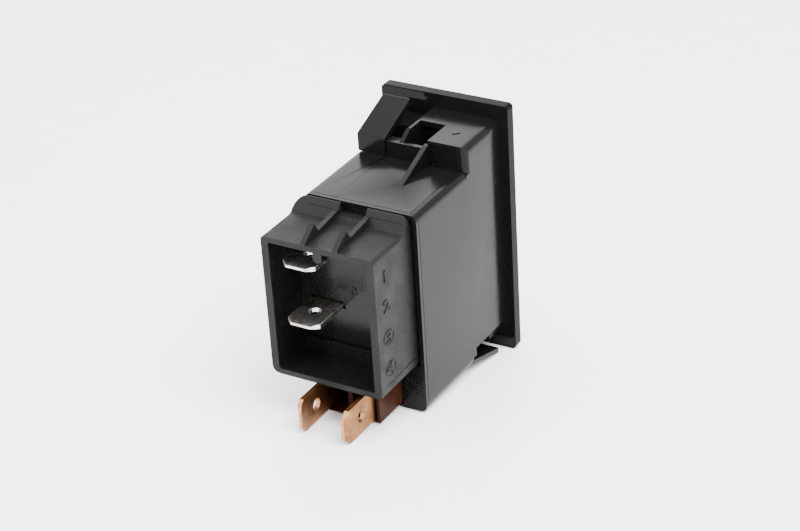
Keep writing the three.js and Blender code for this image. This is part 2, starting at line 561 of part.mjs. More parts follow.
const relayBoard = () => alongY(cartridgeOutline(COVER_WALL + GAP), BOARD_REAR - BOARD_T, BOARD_REAR);

// The relay's parts stand side by side between the cover's left and right walls.
const CONTACT_X = COVER_LEFT - 0.25 - CONTACT_R;
const CHIP_X = COVER_RIGHT + 0.7;
const COIL_LEFT = CONTACT_X - 0.65;
const COIL_RIGHT = CHIP_X + CHIP[0] + 0.7 + PLATE_T + 3 * GAP;
const COIL_R = Math.min((COIL_LEFT - COIL_RIGHT) / 2, (BOARD_FACE - COVER_FRONT - COVER_WALL) / 2 - GAP);
const COIL_X = (COIL_LEFT + COIL_RIGHT) / 2;
const COIL_Y = (COVER_FRONT + COVER_WALL + BOARD_FACE) / 2;
const COIL_Z = COVER_FLOOR + COIL_MARGIN[0];
const COIL_H = COVER_TOP - COIL_MARGIN[1] - COIL_Z;

// Ring with its axis along Z at the coil.
function coilRing(profile) {
  const points = profile.map(([r, z]) => new THREE.Vector2(r, z));
  points.push(points[0].clone());
  const ring = new THREE.LatheGeometry(points, 32).rotateX(Math.PI / 2);
  return solidOf(ring.translate(COIL_X, COIL_Y, COIL_Z));
}

const TUBE_R = CORE_R + GAP;

function coilBobbin() {
  return coilRing([
    [TUBE_R, 0], [COIL_R, 0], [COIL_R, 1], [TUBE_R + TUBE_T, 1], [TUBE_R + TUBE_T, COIL_H - 1],
    [COIL_R, COIL_H - 1], [COIL_R, COIL_H], [TUBE_R, COIL_H],
  ]);
}

function coilWinding() {
  const inner = TUBE_R + TUBE_T + GAP;
  const outer = COIL_R - GAP;
  const low = 1 + GAP;
  return coilRing([[inner, low], [outer, low], [outer, COIL_H - low], [inner, COIL_H - low]]);
}

const YOKE_LOW = COIL_Z - GAP - PLATE_T;
const POLE_Z = COIL_Z + COIL_H + GAP;      // underside of the pole head
const POLE_H = 0.7;
const YOKE_X = COIL_X - COIL_R - GAP;      // inner face of the yoke's upright
const YOKE_TOP = POLE_Z + POLE_H;
const ARMATURE_Z = YOKE_TOP + 0.35;        // underside of the armature when it is closed

function relayCore() {
  const shank = bar('z', [COIL_X, COIL_Y, 0], YOKE_LOW, POLE_Z + 0.1, CORE_R);
  return join(shank, bar('z', [COIL_X, COIL_Y, 0], POLE_Z, YOKE_TOP, CORE_R + 1));
}

function relayYoke() {
  const half = 3.4;
  const foot = block([YOKE_X - PLATE_T, COIL_Y - half, YOKE_LOW],
    [COIL_X + half, COIL_Y + half, YOKE_LOW + PLATE_T]);
  const upright = block([YOKE_X - PLATE_T, COIL_Y - half, YOKE_LOW], [YOKE_X, COIL_Y + half, YOKE_TOP]);
  return cut(join(foot, upright), bar('z', [COIL_X, COIL_Y, 0], YOKE_LOW - 1, YOKE_LOW + 2, CORE_R + GAP));
}

const HINGE_X = YOKE_X - PLATE_T / 2;
const HINGE_Z = YOKE_TOP + 0.2;

// Tips a piece about the armature's hinge, away from the pole.
function armatureOpen(solid) {
  return solid.translate([-HINGE_X, 0, -HINGE_Z]).rotate([0, -ARMATURE_SWING, 0])
    .translate([HINGE_X, 0, HINGE_Z]);
}

function relayArmature() {
  return armatureOpen(block([HINGE_X - 1.8, COIL_Y - 3.2, ARMATURE_Z],
    [COIL_X + CORE_R + 1, COIL_Y + 3.2, ARMATURE_Z + PLATE_T]));
}

function contactLeaf() {
  const low = ARMATURE_Z + PLATE_T + GAP;
  const leaf = block([HINGE_X + 1, COIL_Y - 1.8, low], [CONTACT_X + 0.65, COIL_Y + 1.8, low + 0.25]);
  const button = bar('z', [CONTACT_X, COIL_Y, 0], low - 0.8, low + 0.1, CONTACT_R, 16);
  return armatureOpen(join(leaf, button));
}

function fixedContact() {
  const top = ARMATURE_Z + PLATE_T - 0.8;
  const half = CONTACT_R / 2;
  const post = block([CONTACT_X - half, COIL_Y - 1.4, YOKE_LOW], [CONTACT_X + half, COIL_Y + 1.4, top - 0.6]);
  return join(post, bar('z', [CONTACT_X, COIL_Y, 0], top - 0.8, top, CONTACT_R, 16));
}

function armatureSpring() {
  const x = YOKE_X - PLATE_T - GAP;
  return block([x - 0.4, COIL_Y - 1.5, YOKE_LOW + 4], [x, COIL_Y + 1.5, YOKE_TOP - 0.6]);
}

const CHIP_Z = COVER_FLOOR + 7.6;

function timerChip() {
  const [width, depth, height] = CHIP;
  const top = Math.min(CHIP_Z + height, ARMATURE_Z - 4 * GAP);
  return block([CHIP_X, BOARD_FACE - depth, CHIP_Z], [CHIP_X + width, BOARD_FACE, top]);
}

const timingCapacitor = () => bar('y',
  [COVER_RIGHT + GAP + CAPACITOR_R, 0, COVER_FLOOR + 0.7 + CAPACITOR_R],
  BOARD_FACE - CAPACITOR_L, BOARD_FACE, CAPACITOR_R);
const shuntResistor = () => bar('x', [0, BOARD_FACE - RESISTOR_R - GAP, COVER_FLOOR + 1.9],
  0.5, 0.5 + RESISTOR_L, RESISTOR_R, 20);

// ---- pilot lamp ---------------------------------------------------------------------------------
const lampHolder = () => cut(bar('y', [0, 0, LAMP_Z], 4.4, COVER_FRONT - GAP, LAMP_R + 1),
  bar('y', [0, 0, LAMP_Z], 3, 7, LAMP_R - 0.2));

function pilotLamp() {
  const points = [[0, 0], [LAMP_R - 0.5, 0], [LAMP_R - 0.5, 2.6], [LAMP_R, 3.4], [LAMP_R, 5.2],
    [LAMP_R * 0.75, 6.4], [0, 7]].map(([r, y]) => new THREE.Vector2(r, y));
  const lathe = new THREE.LatheGeometry(points, 24).rotateX(Math.PI);
  return solidOf(lathe.translate(0, 6.7, LAMP_Z));
}

const pivotPin = () => bar('x', [0, PIVOT_Y, 0], -SIDE_IN + 0.4, SIDE_IN - 0.4, PIN_R);

// ---- assembly -----------------------------------------------------------------------------------
const finish = (color, roughness, metalness = 0) =>
  new THREE.MeshStandardMaterial({ color, roughness, metalness });
const GLOSS = finish(0x101113, 0.18);
const MATTE = finish(0x1b1c1e, 0.7);
const PHENOLIC = finish(0x5a2a15, 0.55);
const COPPER = finish(0xc8895f, 0.35, 1);
const NICKEL = finish(0xc9c8c2, 0.25, 1);
const STEEL = finish(0x9a9c9e, 0.4, 1);
const WHITE = finish(0xe6e3da, 0.6);
const BOARD = finish(0x2f6b3f, 0.6);
const CLEAR = finish(0xf2f4f4, 0.1);

const group = new THREE.Group();

function add(name, solid, material, parent = group) {
  const geometry = solid.isBufferGeometry ? solid : geometryOf(solid);
  const mesh = new THREE.Mesh(geometry, material);
  mesh.name = name;
  parent.add(mesh);
}

add('housing', housing(), GLOSS);
add('top_latch', topLatch(), GLOSS);
add('bottom_latch', bottomLatch(), GLOSS);

const rocker = new THREE.Group();
rocker.position.set(0, PIVOT_Y, 0);
rocker.rotation.x = -THREE.MathUtils.degToRad(ROCKER_SWING / 2);
group.add(rocker);
const rockerParts = new THREE.Group();
rockerParts.position.set(0, -PIVOT_Y, 0);
rocker.add(rockerParts);
add('rocker_button', rockerButton(), GLOSS, rockerParts);
add('symbol_lens', symbolLens(), CLEAR, rockerParts);
add('rocker_pivot_pin', pivotPin(), STEEL);

add('lamp_holder', lampHolder(), WHITE);
add('pilot_lamp', pilotLamp(), CLEAR);
add('contact_plunger', contactPlunger(), WHITE);
add('contact_bridge', contactBridge(), COPPER);
add('plunger_spring', plungerSpring(), STEEL);
add('copper_terminal_left', copperTerminal(1), COPPER);
add('copper_terminal_right', copperTerminal(-1), COPPER);
add('switch_base', switchBase(), PHENOLIC);

add('cartridge_shroud', cartridgeShroud(), MATTE);
add('relay_cover', relayCover(), MATTE);
add('relay_blade_upper', relayBlade(RELAY_BLADE_Z[0]), NICKEL);
add('relay_blade_lower', relayBlade(RELAY_BLADE_Z[1]), NICKEL);
add('relay_board', relayBoard(), BOARD);
add('coil_bobbin', coilBobbin(), WHITE);
add('coil_winding', coilWinding(), COPPER);
add('relay_core', relayCore(), STEEL);
add('relay_yoke', relayYoke(), STEEL);
add('relay_armature', relayArmature(), STEEL);
add('armature_spring', armatureSpring(), NICKEL);
add('moving_contact_leaf', contactLeaf(), COPPER);
add('fixed_contact', fixedContact(), COPPER);
add('timer_chip', timerChip(), MATTE);
add('timing_capacitor', timingCapacitor(), MATTE);
add('shunt_resistor', shuntResistor(), STEEL);

export default group;
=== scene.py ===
"""Panel rocker switch with a plug-in relay cartridge: the looks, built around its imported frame.

Metres. -Y is the front that the hand reaches, +Y the wiring side, +Z up.
"""
import json
import math

import bmesh
import bpy
from bpy.props import FloatProperty, FloatVectorProperty, IntProperty, PointerProperty
from mathutils import Matrix, Vector
from mathutils.bvhtree import BVHTree

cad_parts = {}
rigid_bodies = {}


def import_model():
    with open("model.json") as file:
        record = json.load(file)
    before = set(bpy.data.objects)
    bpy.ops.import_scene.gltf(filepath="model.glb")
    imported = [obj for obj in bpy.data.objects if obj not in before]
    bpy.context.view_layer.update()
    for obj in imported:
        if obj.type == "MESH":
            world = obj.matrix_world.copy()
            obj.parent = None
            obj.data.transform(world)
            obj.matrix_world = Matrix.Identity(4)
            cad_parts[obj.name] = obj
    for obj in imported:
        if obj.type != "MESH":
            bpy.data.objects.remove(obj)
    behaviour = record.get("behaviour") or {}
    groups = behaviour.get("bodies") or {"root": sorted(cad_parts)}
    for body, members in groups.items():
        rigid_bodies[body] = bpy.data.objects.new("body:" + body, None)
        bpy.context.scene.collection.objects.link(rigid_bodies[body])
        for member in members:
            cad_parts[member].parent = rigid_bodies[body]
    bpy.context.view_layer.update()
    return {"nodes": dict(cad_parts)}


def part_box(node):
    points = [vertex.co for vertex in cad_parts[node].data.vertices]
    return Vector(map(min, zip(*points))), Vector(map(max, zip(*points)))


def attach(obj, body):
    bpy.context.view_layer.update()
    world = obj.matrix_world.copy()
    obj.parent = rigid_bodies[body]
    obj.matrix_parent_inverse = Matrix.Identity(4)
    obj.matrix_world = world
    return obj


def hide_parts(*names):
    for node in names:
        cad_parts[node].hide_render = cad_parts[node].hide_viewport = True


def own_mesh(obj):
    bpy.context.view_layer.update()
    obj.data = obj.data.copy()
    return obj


bl_info = {
    "name": "Rocker Switch Module",
    "version": (1, 0, 0),
    "blender": (4, 5, 0),
    "location": "3D View > Sidebar > Switch",
    "description": "Builds the finished pieces of a panel rocker switch with a relay cartridge",
    "category": "Object",
}

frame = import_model()

MM = 0.001
X_AXIS, Y_AXIS, Z_AXIS = Vector((1, 0, 0)), Vector((0, 1, 0)), Vector((0, 0, 1))

# ---- places that follow from the frame ----
GAP = 0.3 * MM  # air that the frame's pieces keep
LOW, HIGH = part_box("housing")
TOP_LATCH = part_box("top_latch")
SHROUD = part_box("cartridge_shroud")
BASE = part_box("switch_base")
SIDE = TOP_LATCH[1].x + GAP  # half width of the housing's body
BODY_REAR = HIGH.y  # end of the housing's body
COLLAR_Y = TOP_LATCH[1].y  # rear face of the raised collar
DECK_Z = SHROUD[1].z + 0.1 * MM  # top of the body behind the collar
COLLAR_Z = DECK_Z + 4.6 * MM  # top of the collar
FLOOR_Z = TOP_LATCH[0].z - 38.3 * MM  # underside of the body
SHROUD_TOP = DECK_Z - 2.6 * MM
SHROUD_WALL = 1.0 * MM
SHROUD_SIDE_WALL = 1.4 * MM
SHROUD_BACK = BODY_REAR + 3.0 * MM  # wall behind the connector's blades
SKIN = 0.1 * MM  # the cavity reaches this far into its walls, so that they count as inside it
RIM = 0.3 * MM  # and ends this far short of the shroud's edge
SHROUD_CAVITY = (
    (SHROUD[0].x + SHROUD_SIDE_WALL - SKIN, SHROUD_BACK - SKIN, SHROUD[0].z + SHROUD_WALL - SKIN),
    (SHROUD[1].x - SHROUD_SIDE_WALL + SKIN, SHROUD[1].y - RIM, SHROUD_TOP - SHROUD_WALL + SKIN))
SPARE = 1 * MM  # how far a cutter stands out of its piece


# ---- settings ----
def length(name, description, millimetres, least=0.0):
    return FloatProperty(name=name, description=description, default=millimetres * MM,
                         min=least * MM, subtype="DISTANCE", unit="LENGTH", precision=5)


def colour(name, description, value):
    return FloatVectorProperty(name=name, description=description, default=value,
                               subtype="COLOR", size=3, min=0.0, max=1.0)


def share(name, description, value):
    return FloatProperty(name=name, description=description, default=value,
                         subtype="FACTOR", min=0.0, max=1.0)


class ModuleSizes(bpy.types.PropertyGroup):
    """Sizes of the fine detail."""
    edge: length("Moulded edge", "Rounding of the moulded edges", 0.16)
    stamped_edge: length("Stamped edge", "Rounding of stamped metal edges", 0.09)
    line: length("Mould line", "Width of the fine lines in the housing", 0.12)
    figure: length("Figures", "Height of the terminal figures", 3.1)
    relief: length("Relief", "How far figures and marks stand proud", 0.13)
    star: length("Radial mark", "Radius of the radial mark on the rear wall", 1.9)
    star_rays: IntProperty(name="Rays", description="Rays of the radial mark", default=12, min=3)
    winding_wire: length("Winding wire", "Diameter of the coil's wire", 0.26, least=0.05)
    spring_turns: IntProperty(name="Spring turns", description="Turns of the plunger's spring",
                              default=11, min=3)


class ModuleFinishes(bpy.types.PropertyGroup):
    """Colours and finishes."""
    gloss: colour("Housing", "Polished black moulding", (0.0036, 0.0035, 0.0034))
    matte: colour("Cartridge", "Spark-textured black moulding", (0.0048, 0.0048, 0.005))
    phenolic: colour("Switch base", "Brown phenolic", (0.022, 0.0072, 0.0035))
    copper: colour("Copper", "Bare stamped copper", (0.28, 0.122, 0.040))
    nickel: colour("Nickel", "Bright nickel plate", (0.62, 0.6, 0.56))
    body_roughness: share("Housing roughness", "Roughness of the housing's body", 0.19)
    bezel_roughness: share("Bezel roughness", "Roughness of the bezel's polished back", 0.05)
    matte_roughness: share("Cartridge roughness", "Roughness of the cartridge", 0.52)
    cavity_roughness: share("Cavity roughness", "Roughness inside the connector", 0.2)


class StudioSettings(bpy.types.PropertyGroup):
    """Camera, floor and lights."""
    lens: FloatProperty(name="Lens", description="Focal length", default=100.3, min=1.0,
                        unit="CAMERA")
    azimuth: FloatProperty(name="Azimuth", description="Bearing of the camera from the front",
                           default=math.radians(211.72), subtype="ANGLE")
    elevation: FloatProperty(name="Elevation", description="Height angle of the camera",
                             default=math.radians(29.18), subtype="ANGLE")
    roll: FloatProperty(name="Roll", description="Turn of the camera about its own axis",
                        default=math.radians(-3.66), subtype="ANGLE")
    distance: length("Distance", "From the camera to the point that it looks at", 360.0)
    aim: FloatVectorProperty(name="Aim", description="Point that the camera looks at",
                             default=(-0.01162, 0.03665, 0.01181), subtype="XYZ", size=3,
                             unit="LENGTH")
    sky: FloatProperty(name="Surroundings", description="Brightness of the white room",
                       default=3.8, min=0.0)
    front: share("Front side", "Share of that brightness in front of the module", 0.5)
    key: FloatProperty(name="Key light", description="Power of the main softbox in watts",
                       default=20.0, min=0.0)
    fill: FloatProperty(name="Fill light", description="Power of the other softboxes in watts",
                        default=2.6, min=0.0)


def sizes():
    return bpy.context.scene.module_sizes


def finishes():
    return bpy.context.scene.module_finishes


def studio():
    return bpy.context.scene.module_studio


# ---- materials ----
def set_range(node, low, high, to_low, to_high):
    """Makes a Map Range node take low..high to to_low..to_high."""
    for name, value in (("From Min", low), ("From Max", high), ("To Min", to_low), ("To Max", to_high)):
        node.inputs[name].default_value = value


class Recipe:
    """Node tree of one finish, grown from the place on the object."""

    def __init__(self, name):
        self.material = bpy.data.materials.new(name)
        self.material.use_nodes = True
        self.nodes = self.material.node_tree.nodes
        self.links = self.material.node_tree.links
        self.shader = self.nodes["Principled BSDF"]
        self.place = self.nodes.new("ShaderNodeTexCoord").outputs["Object"]

    def fixed(self, **values):
        """Sets sockets that are the same all over the surface."""
        for name, value in values.items():
            self.shader.inputs[name.replace("_", " ")].default_value = value

    def feed(self, socket, source):
        self.links.new(source, self.shader.inputs[socket])

    def stretched(self, scale):
        mapping = self.nodes.new("ShaderNodeMapping")
        mapping.inputs["Scale"].default_value = scale
        self.links.new(self.place, mapping.inputs["Vector"])
        return mapping.outputs["Vector"]

    def noise(self, grain, detail=3.0, stretch=(1, 1, 1), distortion=0.0):
        """Cloudy pattern whose features are about grain metres across."""
        node = self.nodes.new("ShaderNodeTexNoise")
        node.inputs["Scale"].default_value = 1.0 / grain
        node.inputs["Detail"].default_value = detail
        node.inputs["Distortion"].default_value = distortion
        self.links.new(self.stretched(stretch), node.inputs["Vector"])
        return node.outputs["Fac"]

    def cells(self, grain):
        """Round cells that are about grain metres across."""
        node = self.nodes.new("ShaderNodeTexVoronoi")
        node.inputs["Scale"].default_value = 1.0 / grain
        self.links.new(self.place, node.inputs["Vector"])
        return node.outputs["Distance"]

    def axis(self, name):
        node = self.nodes.new("ShaderNodeSeparateXYZ")
        self.links.new(self.place, node.inputs["Vector"])
        return node.outputs[name]

    def span(self, source, low, high, to_low, to_high):
        node = self.nodes.new("ShaderNodeMapRange")
        set_range(node, low, high, to_low, to_high)
        self.links.new(source, node.inputs["Value"])
        return node.outputs["Result"]

    def math(self, operation, first, second):
        node = self.nodes.new("ShaderNodeMath")
        node.operation = operation
        for socket, value in zip(node.inputs, (first, second)):
            if isinstance(value, (int, float)):
                socket.default_value = value
            else:
                self.links.new(value, socket)
        return node.outputs["Value"]

    def beyond(self, axis, distance):
        """One where the place is further than distance from the middle along an axis."""
        return self.math("GREATER_THAN", self.math("ABSOLUTE", self.axis(axis), 0), distance)

    def within(self, box):
        """One inside a box of (low, high) corners."""
        result = None
        for i, axis in enumerate("XYZ"):
            middle, half = (box[0][i] + box[1][i]) / 2, (box[1][i] - box[0][i]) / 2
            away = self.math("ABSOLUTE", self.math("SUBTRACT", self.axis(axis), middle), 0)
            inside = self.math("LESS_THAN", away, half)
            result = inside if result is None else self.math("MULTIPLY", result, inside)
        return result

    def tint(self, source, *stops):
        """Colours the surface through a ramp of (position, colour) stops."""
        node = self.nodes.new("ShaderNodeValToRGB")
        ramp = node.color_ramp
        while len(ramp.elements) < len(stops):
            ramp.elements.new(0.5)
        for element, (position, value) in zip(ramp.elements, stops):
            element.position = position
            element.color = (*value, 1.0)
        self.links.new(source, node.inputs["Fac"])
        self.feed("Base Color", node.outputs["Color"])

    def rough(self, source, first, last, low=0.3, high=0.7):
        """Roughness from first, where source is at low, to last, where it is at high."""
        self.feed("Roughness", self.span(source, low, high, first, last))

    def bump(self, *layers):
        """Stacks (source, height in metres) layers into the surface's normal."""
        normal = None
        for source, height in layers:
            node = self.nodes.new("ShaderNodeBump")
            node.inputs["Distance"].default_value = height
            node.inputs["Strength"].default_value = 1.0
            self.links.new(source, node.inputs["Height"])
            if normal is not None:
                self.links.new(normal, node.inputs["Normal"])
            normal = node.outputs["Normal"]
        self.feed("Normal", normal)


def shade(value, factor):
    return tuple(min(1.0, channel * factor) for channel in value)


# Each finish is a function that fills in its recipe. The dark plastics' IOR is below the real one,
# because the white room all round lifts their reflections.
def polished_black(recipe):
    """Polished black nylon: mirror bezel back, softer body, dust and handling marks."""
    base = finishes().gloss
    cloud = recipe.noise(7 * MM, 4)
    dust = recipe.noise(0.35 * MM, 6)
    recipe.tint(dust, (0.0, shade(base, 0.8)), (0.62, base), (0.8, shade(base, 1.9)))
    # the mirror polish ends within the first millimetres behind the bezel
    polish = recipe.span(recipe.axis("Y"), 0.2 * MM, 1.2 * MM, finishes().bezel_roughness,
                         finishes().body_roughness)
    smear = recipe.math("MULTIPLY", polish, recipe.span(cloud, 0.3, 0.7, -0.22, 0.3))
    rim_width = 0.25 * MM
    rim = recipe.math("MAXIMUM", recipe.beyond("X", HIGH.x - rim_width),
                      recipe.beyond("Z", HIGH.z - rim_width))
    recipe.feed("Roughness", recipe.math(
        "ADD", recipe.math("ADD", polish, smear), recipe.math("MULTIPLY", rim, 0.18)))
    recipe.feed("Specular IOR Level", recipe.span(rim, 0.0, 1.0, 0.5, 0.12))
    recipe.fixed(IOR=1.19)
    recipe.bump((recipe.noise(3.2 * MM, 2, stretch=(1, 1, 0.4)), 0.014 * MM),
                (recipe.noise(0.25 * MM, 2), 0.0012 * MM))


def spark_black(recipe):
    """Glass-filled black moulding with a fine spark-eroded grain, smoother inside the connector."""
    base = finishes().matte
    grain = recipe.noise(0.3 * MM, 5)
    cloud = recipe.noise(5 * MM, 3)
    recipe.tint(grain, (0.3, shade(base, 0.65)), (0.55, base), (0.78, shade(base, 1.9)))
    rough = finishes().matte_roughness
    mottle = recipe.math("ADD", recipe.math("MULTIPLY", cloud, 0.5), recipe.math("MULTIPLY", grain, 0.5))
    outside = recipe.span(mottle, 0.35, 0.65, rough - 0.13, rough + 0.12)
    inside = recipe.within(SHROUD_CAVITY)
    around = recipe.math("SUBTRACT", 1.0, inside)
    recipe.feed("Roughness", recipe.math(
        "ADD", recipe.math("MULTIPLY", outside, around),
        recipe.math("MULTIPLY", inside, finishes().cavity_roughness)))
    recipe.fixed(IOR=1.24)
    recipe.bump((recipe.math("MULTIPLY", grain, around), 0.05 * MM), (recipe.noise(4 * MM, 2), 0.02 * MM))


def phenolic_brown(recipe):
    """Brown phenolic with darker filler flecks and a dull skin."""
    base = finishes().phenolic
    fleck = recipe.noise(0.5 * MM, 6)
    flow = recipe.noise(4 * MM, 3, stretch=(1, 1, 0.3), distortion=1.2)
    mixed = recipe.math("MULTIPLY", recipe.math("ADD", fleck, flow), 0.5)
    recipe.tint(mixed, (0.34, shade(base, 0.45)), (0.5, base), (0.68, shade(base, 1.8)))
    recipe.rough(fleck, 0.3, 0.5)
    recipe.fixed(IOR=1.2, Specular_IOR_Level=0.2)
    recipe.bump((flow, 0.05 * MM), (fleck, 0.014 * MM))


def copper_mill(recipe):
    """Stamped copper strip: rolled grain, warm tarnish clouds and small pits."""
    base = finishes().copper
    tarnish = recipe.noise(2.6 * MM, 5, distortion=0.6)
    rolled = recipe.noise(0.22 * MM, 4, stretch=(1, 0.12, 1))
    blotch = recipe.math("ADD", recipe.math("MULTIPLY", tarnish, 0.75),
                         recipe.math("MULTIPLY", rolled, 0.25))
    recipe.tint(blotch, (0.3, shade(base, 0.38)), (0.44, shade(base, 0.8)), (0.58, base),
                (0.74, shade(base, 1.6)))
    recipe.rough(blotch, 0.5, 0.3)
    recipe.fixed(Metallic=1.0)
    recipe.bump((rolled, 0.02 * MM), (recipe.noise(0.9 * MM, 5), 0.05 * MM))


def copper_sheared(recipe):
    """Torn, paler rim of the stamped copper."""
    tear = recipe.noise(0.3 * MM, 6)
    recipe.tint(tear, (0.3, (0.26, 0.1, 0.04)), (0.55, (0.44, 0.21, 0.11)), (0.75, (0.75, 0.47, 0.3)))
    recipe.rough(tear, 0.3, 0.55)
    recipe.fixed(Metallic=1.0)
    recipe.bump((tear, 0.06 * MM))


def nickel_plate(recipe):
    """Bright nickel over brass with rolling streaks and a faint waviness."""
    base = finishes().nickel
    streak = recipe.noise(0.4 * MM, 3, stretch=(1, 0.3, 1))
    cloud = recipe.noise(1.8 * MM, 4, distortion=0.8)
    recipe.tint(cloud, (0.3, (0.36, 0.3, 0.23)), (0.5, base), (0.72, (0.78, 0.77, 0.74)))
    recipe.rough(streak, 0.29, 0.35)
    recipe.fixed(Metallic=1.0)
    recipe.bump((streak, 0.0008 * MM), (recipe.noise(1.6 * MM, 1), 0.006 * MM))


def nickel_rim(recipe):
    """Painted highlight: the arrises of the plated blades are coloured brighter than their flats."""
    rub = recipe.noise(0.5 * MM, 4)
    # painted highlight: near-white colour on the arrises, standing in for the light that they catch
    recipe.tint(rub, (0.3, (0.7, 0.69, 0.66)), (0.7, (0.95, 0.95, 0.94)))
    recipe.rough(rub, 0.45, 0.7)
    recipe.fixed(Metallic=1.0)
    recipe.bump((rub, 0.01 * MM))


def steel_plate(recipe):
    """Zinc-plated steel."""
    brushed = recipe.noise(0.25 * MM, 4, stretch=(0.1, 1, 1))
    recipe.tint(brushed, (0.3, (0.42, 0.43, 0.45)), (0.7, (0.62, 0.63, 0.65)))
    recipe.rough(brushed, 0.25, 0.45)
    recipe.fixed(Metallic=1.0)
    recipe.bump((brushed, 0.01 * MM))


def natural_nylon(recipe):
    """Milky white nylon."""
    cloud = recipe.noise(3 * MM, 4)
    recipe.tint(cloud, (0.3, (0.62, 0.6, 0.54)), (0.7, (0.76, 0.74, 0.69)))
    recipe.rough(cloud, 0.38, 0.52)
    recipe.fixed(Subsurface_Weight=0.15, Subsurface_Scale=0.6 * MM)
    recipe.bump((recipe.noise(0.4 * MM, 3), 0.006 * MM))


def frosted_lens(recipe):
    """Frosted clear plastic of the symbol window."""
    haze = recipe.noise(0.3 * MM, 4)
    recipe.tint(haze, (0.3, (0.7, 0.7, 0.68)), (0.7, (0.84, 0.84, 0.82)))
    recipe.rough(haze, 0.25, 0.4)
    recipe.fixed(Transmission_Weight=0.35, IOR=1.49)
    recipe.bump((haze, 0.01 * MM))


def bulb_glass(recipe):
    """Clear glass of the pilot lamp."""
    ripple = recipe.noise(1.2 * MM, 2)
    recipe.rough(ripple, 0.02, 0.06)
    recipe.fixed(Base_Color=(0.96, 0.96, 0.94, 1.0), Transmission_Weight=0.9, IOR=1.46)
    recipe.bump((ripple, 0.02 * MM))


def board_laminate(recipe):
    """Green solder mask over woven laminate."""
    weave = recipe.cells(0.5 * MM)
    recipe.tint(weave, (0.0, (0.02, 0.14, 0.055)), (0.8, (0.035, 0.2, 0.08)))
    recipe.rough(weave, 0.22, 0.34, low=0.0, high=0.8)
    recipe.bump((weave, 0.01 * MM))


def enamel_wire(recipe):
    """Enamelled copper winding wire."""
    drift = recipe.noise(1.5 * MM, 3)
    recipe.tint(drift, (0.3, (0.36, 0.1, 0.03)), (0.7, (0.55, 0.2, 0.07)))
    recipe.rough(drift, 0.18, 0.3)
    recipe.fixed(Metallic=0.75, Coat_Weight=0.6)
    recipe.bump((drift, 0.01 * MM))


def shrink_sleeve(recipe):
    """Dark blue shrink sleeve of the capacitor."""
    crease = recipe.noise(1.0 * MM, 3, stretch=(1, 0.4, 1))
    recipe.tint(crease, (0.3, (0.02, 0.028, 0.07)), (0.7, (0.045, 0.055, 0.12)))
    recipe.rough(crease, 0.2, 0.36)
    recipe.bump((crease, 0.015 * MM))


def resistor_lacquer(recipe):
    """Beige lacquer of the resistor."""
    drift = recipe.noise(0.8 * MM, 4)
    recipe.tint(drift, (0.3, (0.46, 0.37, 0.24)), (0.7, (0.6, 0.5, 0.36)))
    recipe.rough(drift, 0.28, 0.45)
    recipe.bump((drift, 0.01 * MM))


def studio_floor(recipe):
    """Pale seamless paper."""
    fibre = recipe.noise(6 * MM, 4)
    recipe.tint(fibre, (0.3, (0.95, 0.95, 0.955)), (0.7, (0.97, 0.97, 0.972)))
    recipe.rough(fibre, 0.3, 0.42)


RECIPES = {finish.__name__: finish for finish in (
    polished_black, spark_black, phenolic_brown, copper_mill, copper_sheared, nickel_plate, nickel_rim,
    steel_plate, natural_nylon, frosted_lens, bulb_glass, board_laminate, enamel_wire, shrink_sleeve,
    resistor_lacquer, studio_floor)}


def finish_of(name):
    """The material of that name, made when it is first asked for."""
    found = bpy.data.materials.get(name)
    if found is None:
        recipe = Recipe(name)
        RECIPES[name](recipe)
        found = recipe.material
    return found


# ---- mesh work ----
def placed(name, mesh, materials=()):
    """New object that holds the mesh, at the origin."""
    mesh.name = name
    piece = bpy.data.objects.new(name, mesh)
    bpy.context.scene.collection.objects.link(piece)
    if materials:
        mesh.materials.clear()
        for material in materials:
            mesh.materials.append(finish_of(material))
    return piece


def carried(piece, slot, *nodes, body="housing_body"):
    """Hands a finished piece to its body and hides the CAD nodes that it stands for. The slot is not used.
    """
    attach(piece, body)
    if nodes:
        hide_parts(*nodes)
    return piece


def finished(name, node, material, slot, edge, segments=2, body="housing_body"):
    """A CAD node's own shape with rounded edges, handed over in its finish."""
    piece = rounded(placed(name, node_mesh(node), [material]), edge, segments)
    return carried(piece, slot, node, body=body)


def node_mesh(node):
    """Copy of a CAD node's mesh with shared corners and whole flat faces."""
    mesh = frame["nodes"][node].data.copy()
    shape = bmesh.new()
    shape.from_mesh(mesh)
    bmesh.ops.remove_doubles(shape, verts=shape.verts, dist=0.002 * MM)
    bmesh.ops.dissolve_limit(shape, angle_limit=math.radians(0.6), verts=shape.verts, edges=shape.edges)
    shape.to_mesh(mesh)
    shape.free()
    for attribute in list(mesh.attributes):
        if attribute.name.startswith(("custom_normal", "sharp")):
            mesh.attributes.remove(attribute)
    return mesh


def mesh_of(shape, name):
    """New mesh that holds a bmesh, which is freed."""
    mesh = bpy.data.meshes.new(name)
    shape.to_mesh(mesh)
    shape.free()
    return mesh


def evaluated(piece):
    """New mesh of what a piece shows."""
    bpy.context.view_layer.update()
    return bpy.data.meshes.new_from_object(
        piece.evaluated_get(bpy.context.evaluated_depsgraph_get()))


def applied(piece):
    """Puts the result of a piece's modifiers into its mesh."""
    result = evaluated(piece)
    piece.modifiers.clear()
    piece.data = result
    return piece


def carved(piece, cutters):
    """Takes a list of closed cutter meshes out of a piece."""
    joined = bmesh.new()
    for mesh in cutters:
        joined.from_mesh(mesh)
        bpy.data.meshes.remove(mesh)
    tool = placed("tool", mesh_of(joined, "tool"))
    modifier = piece.modifiers.new("carve", "BOOLEAN")
    modifier.operation = "DIFFERENCE"
    modifier.solver = "EXACT"
    modifier.use_self = True
    modifier.object = tool
    applied(piece)
    bpy.data.objects.remove(tool)
    return piece


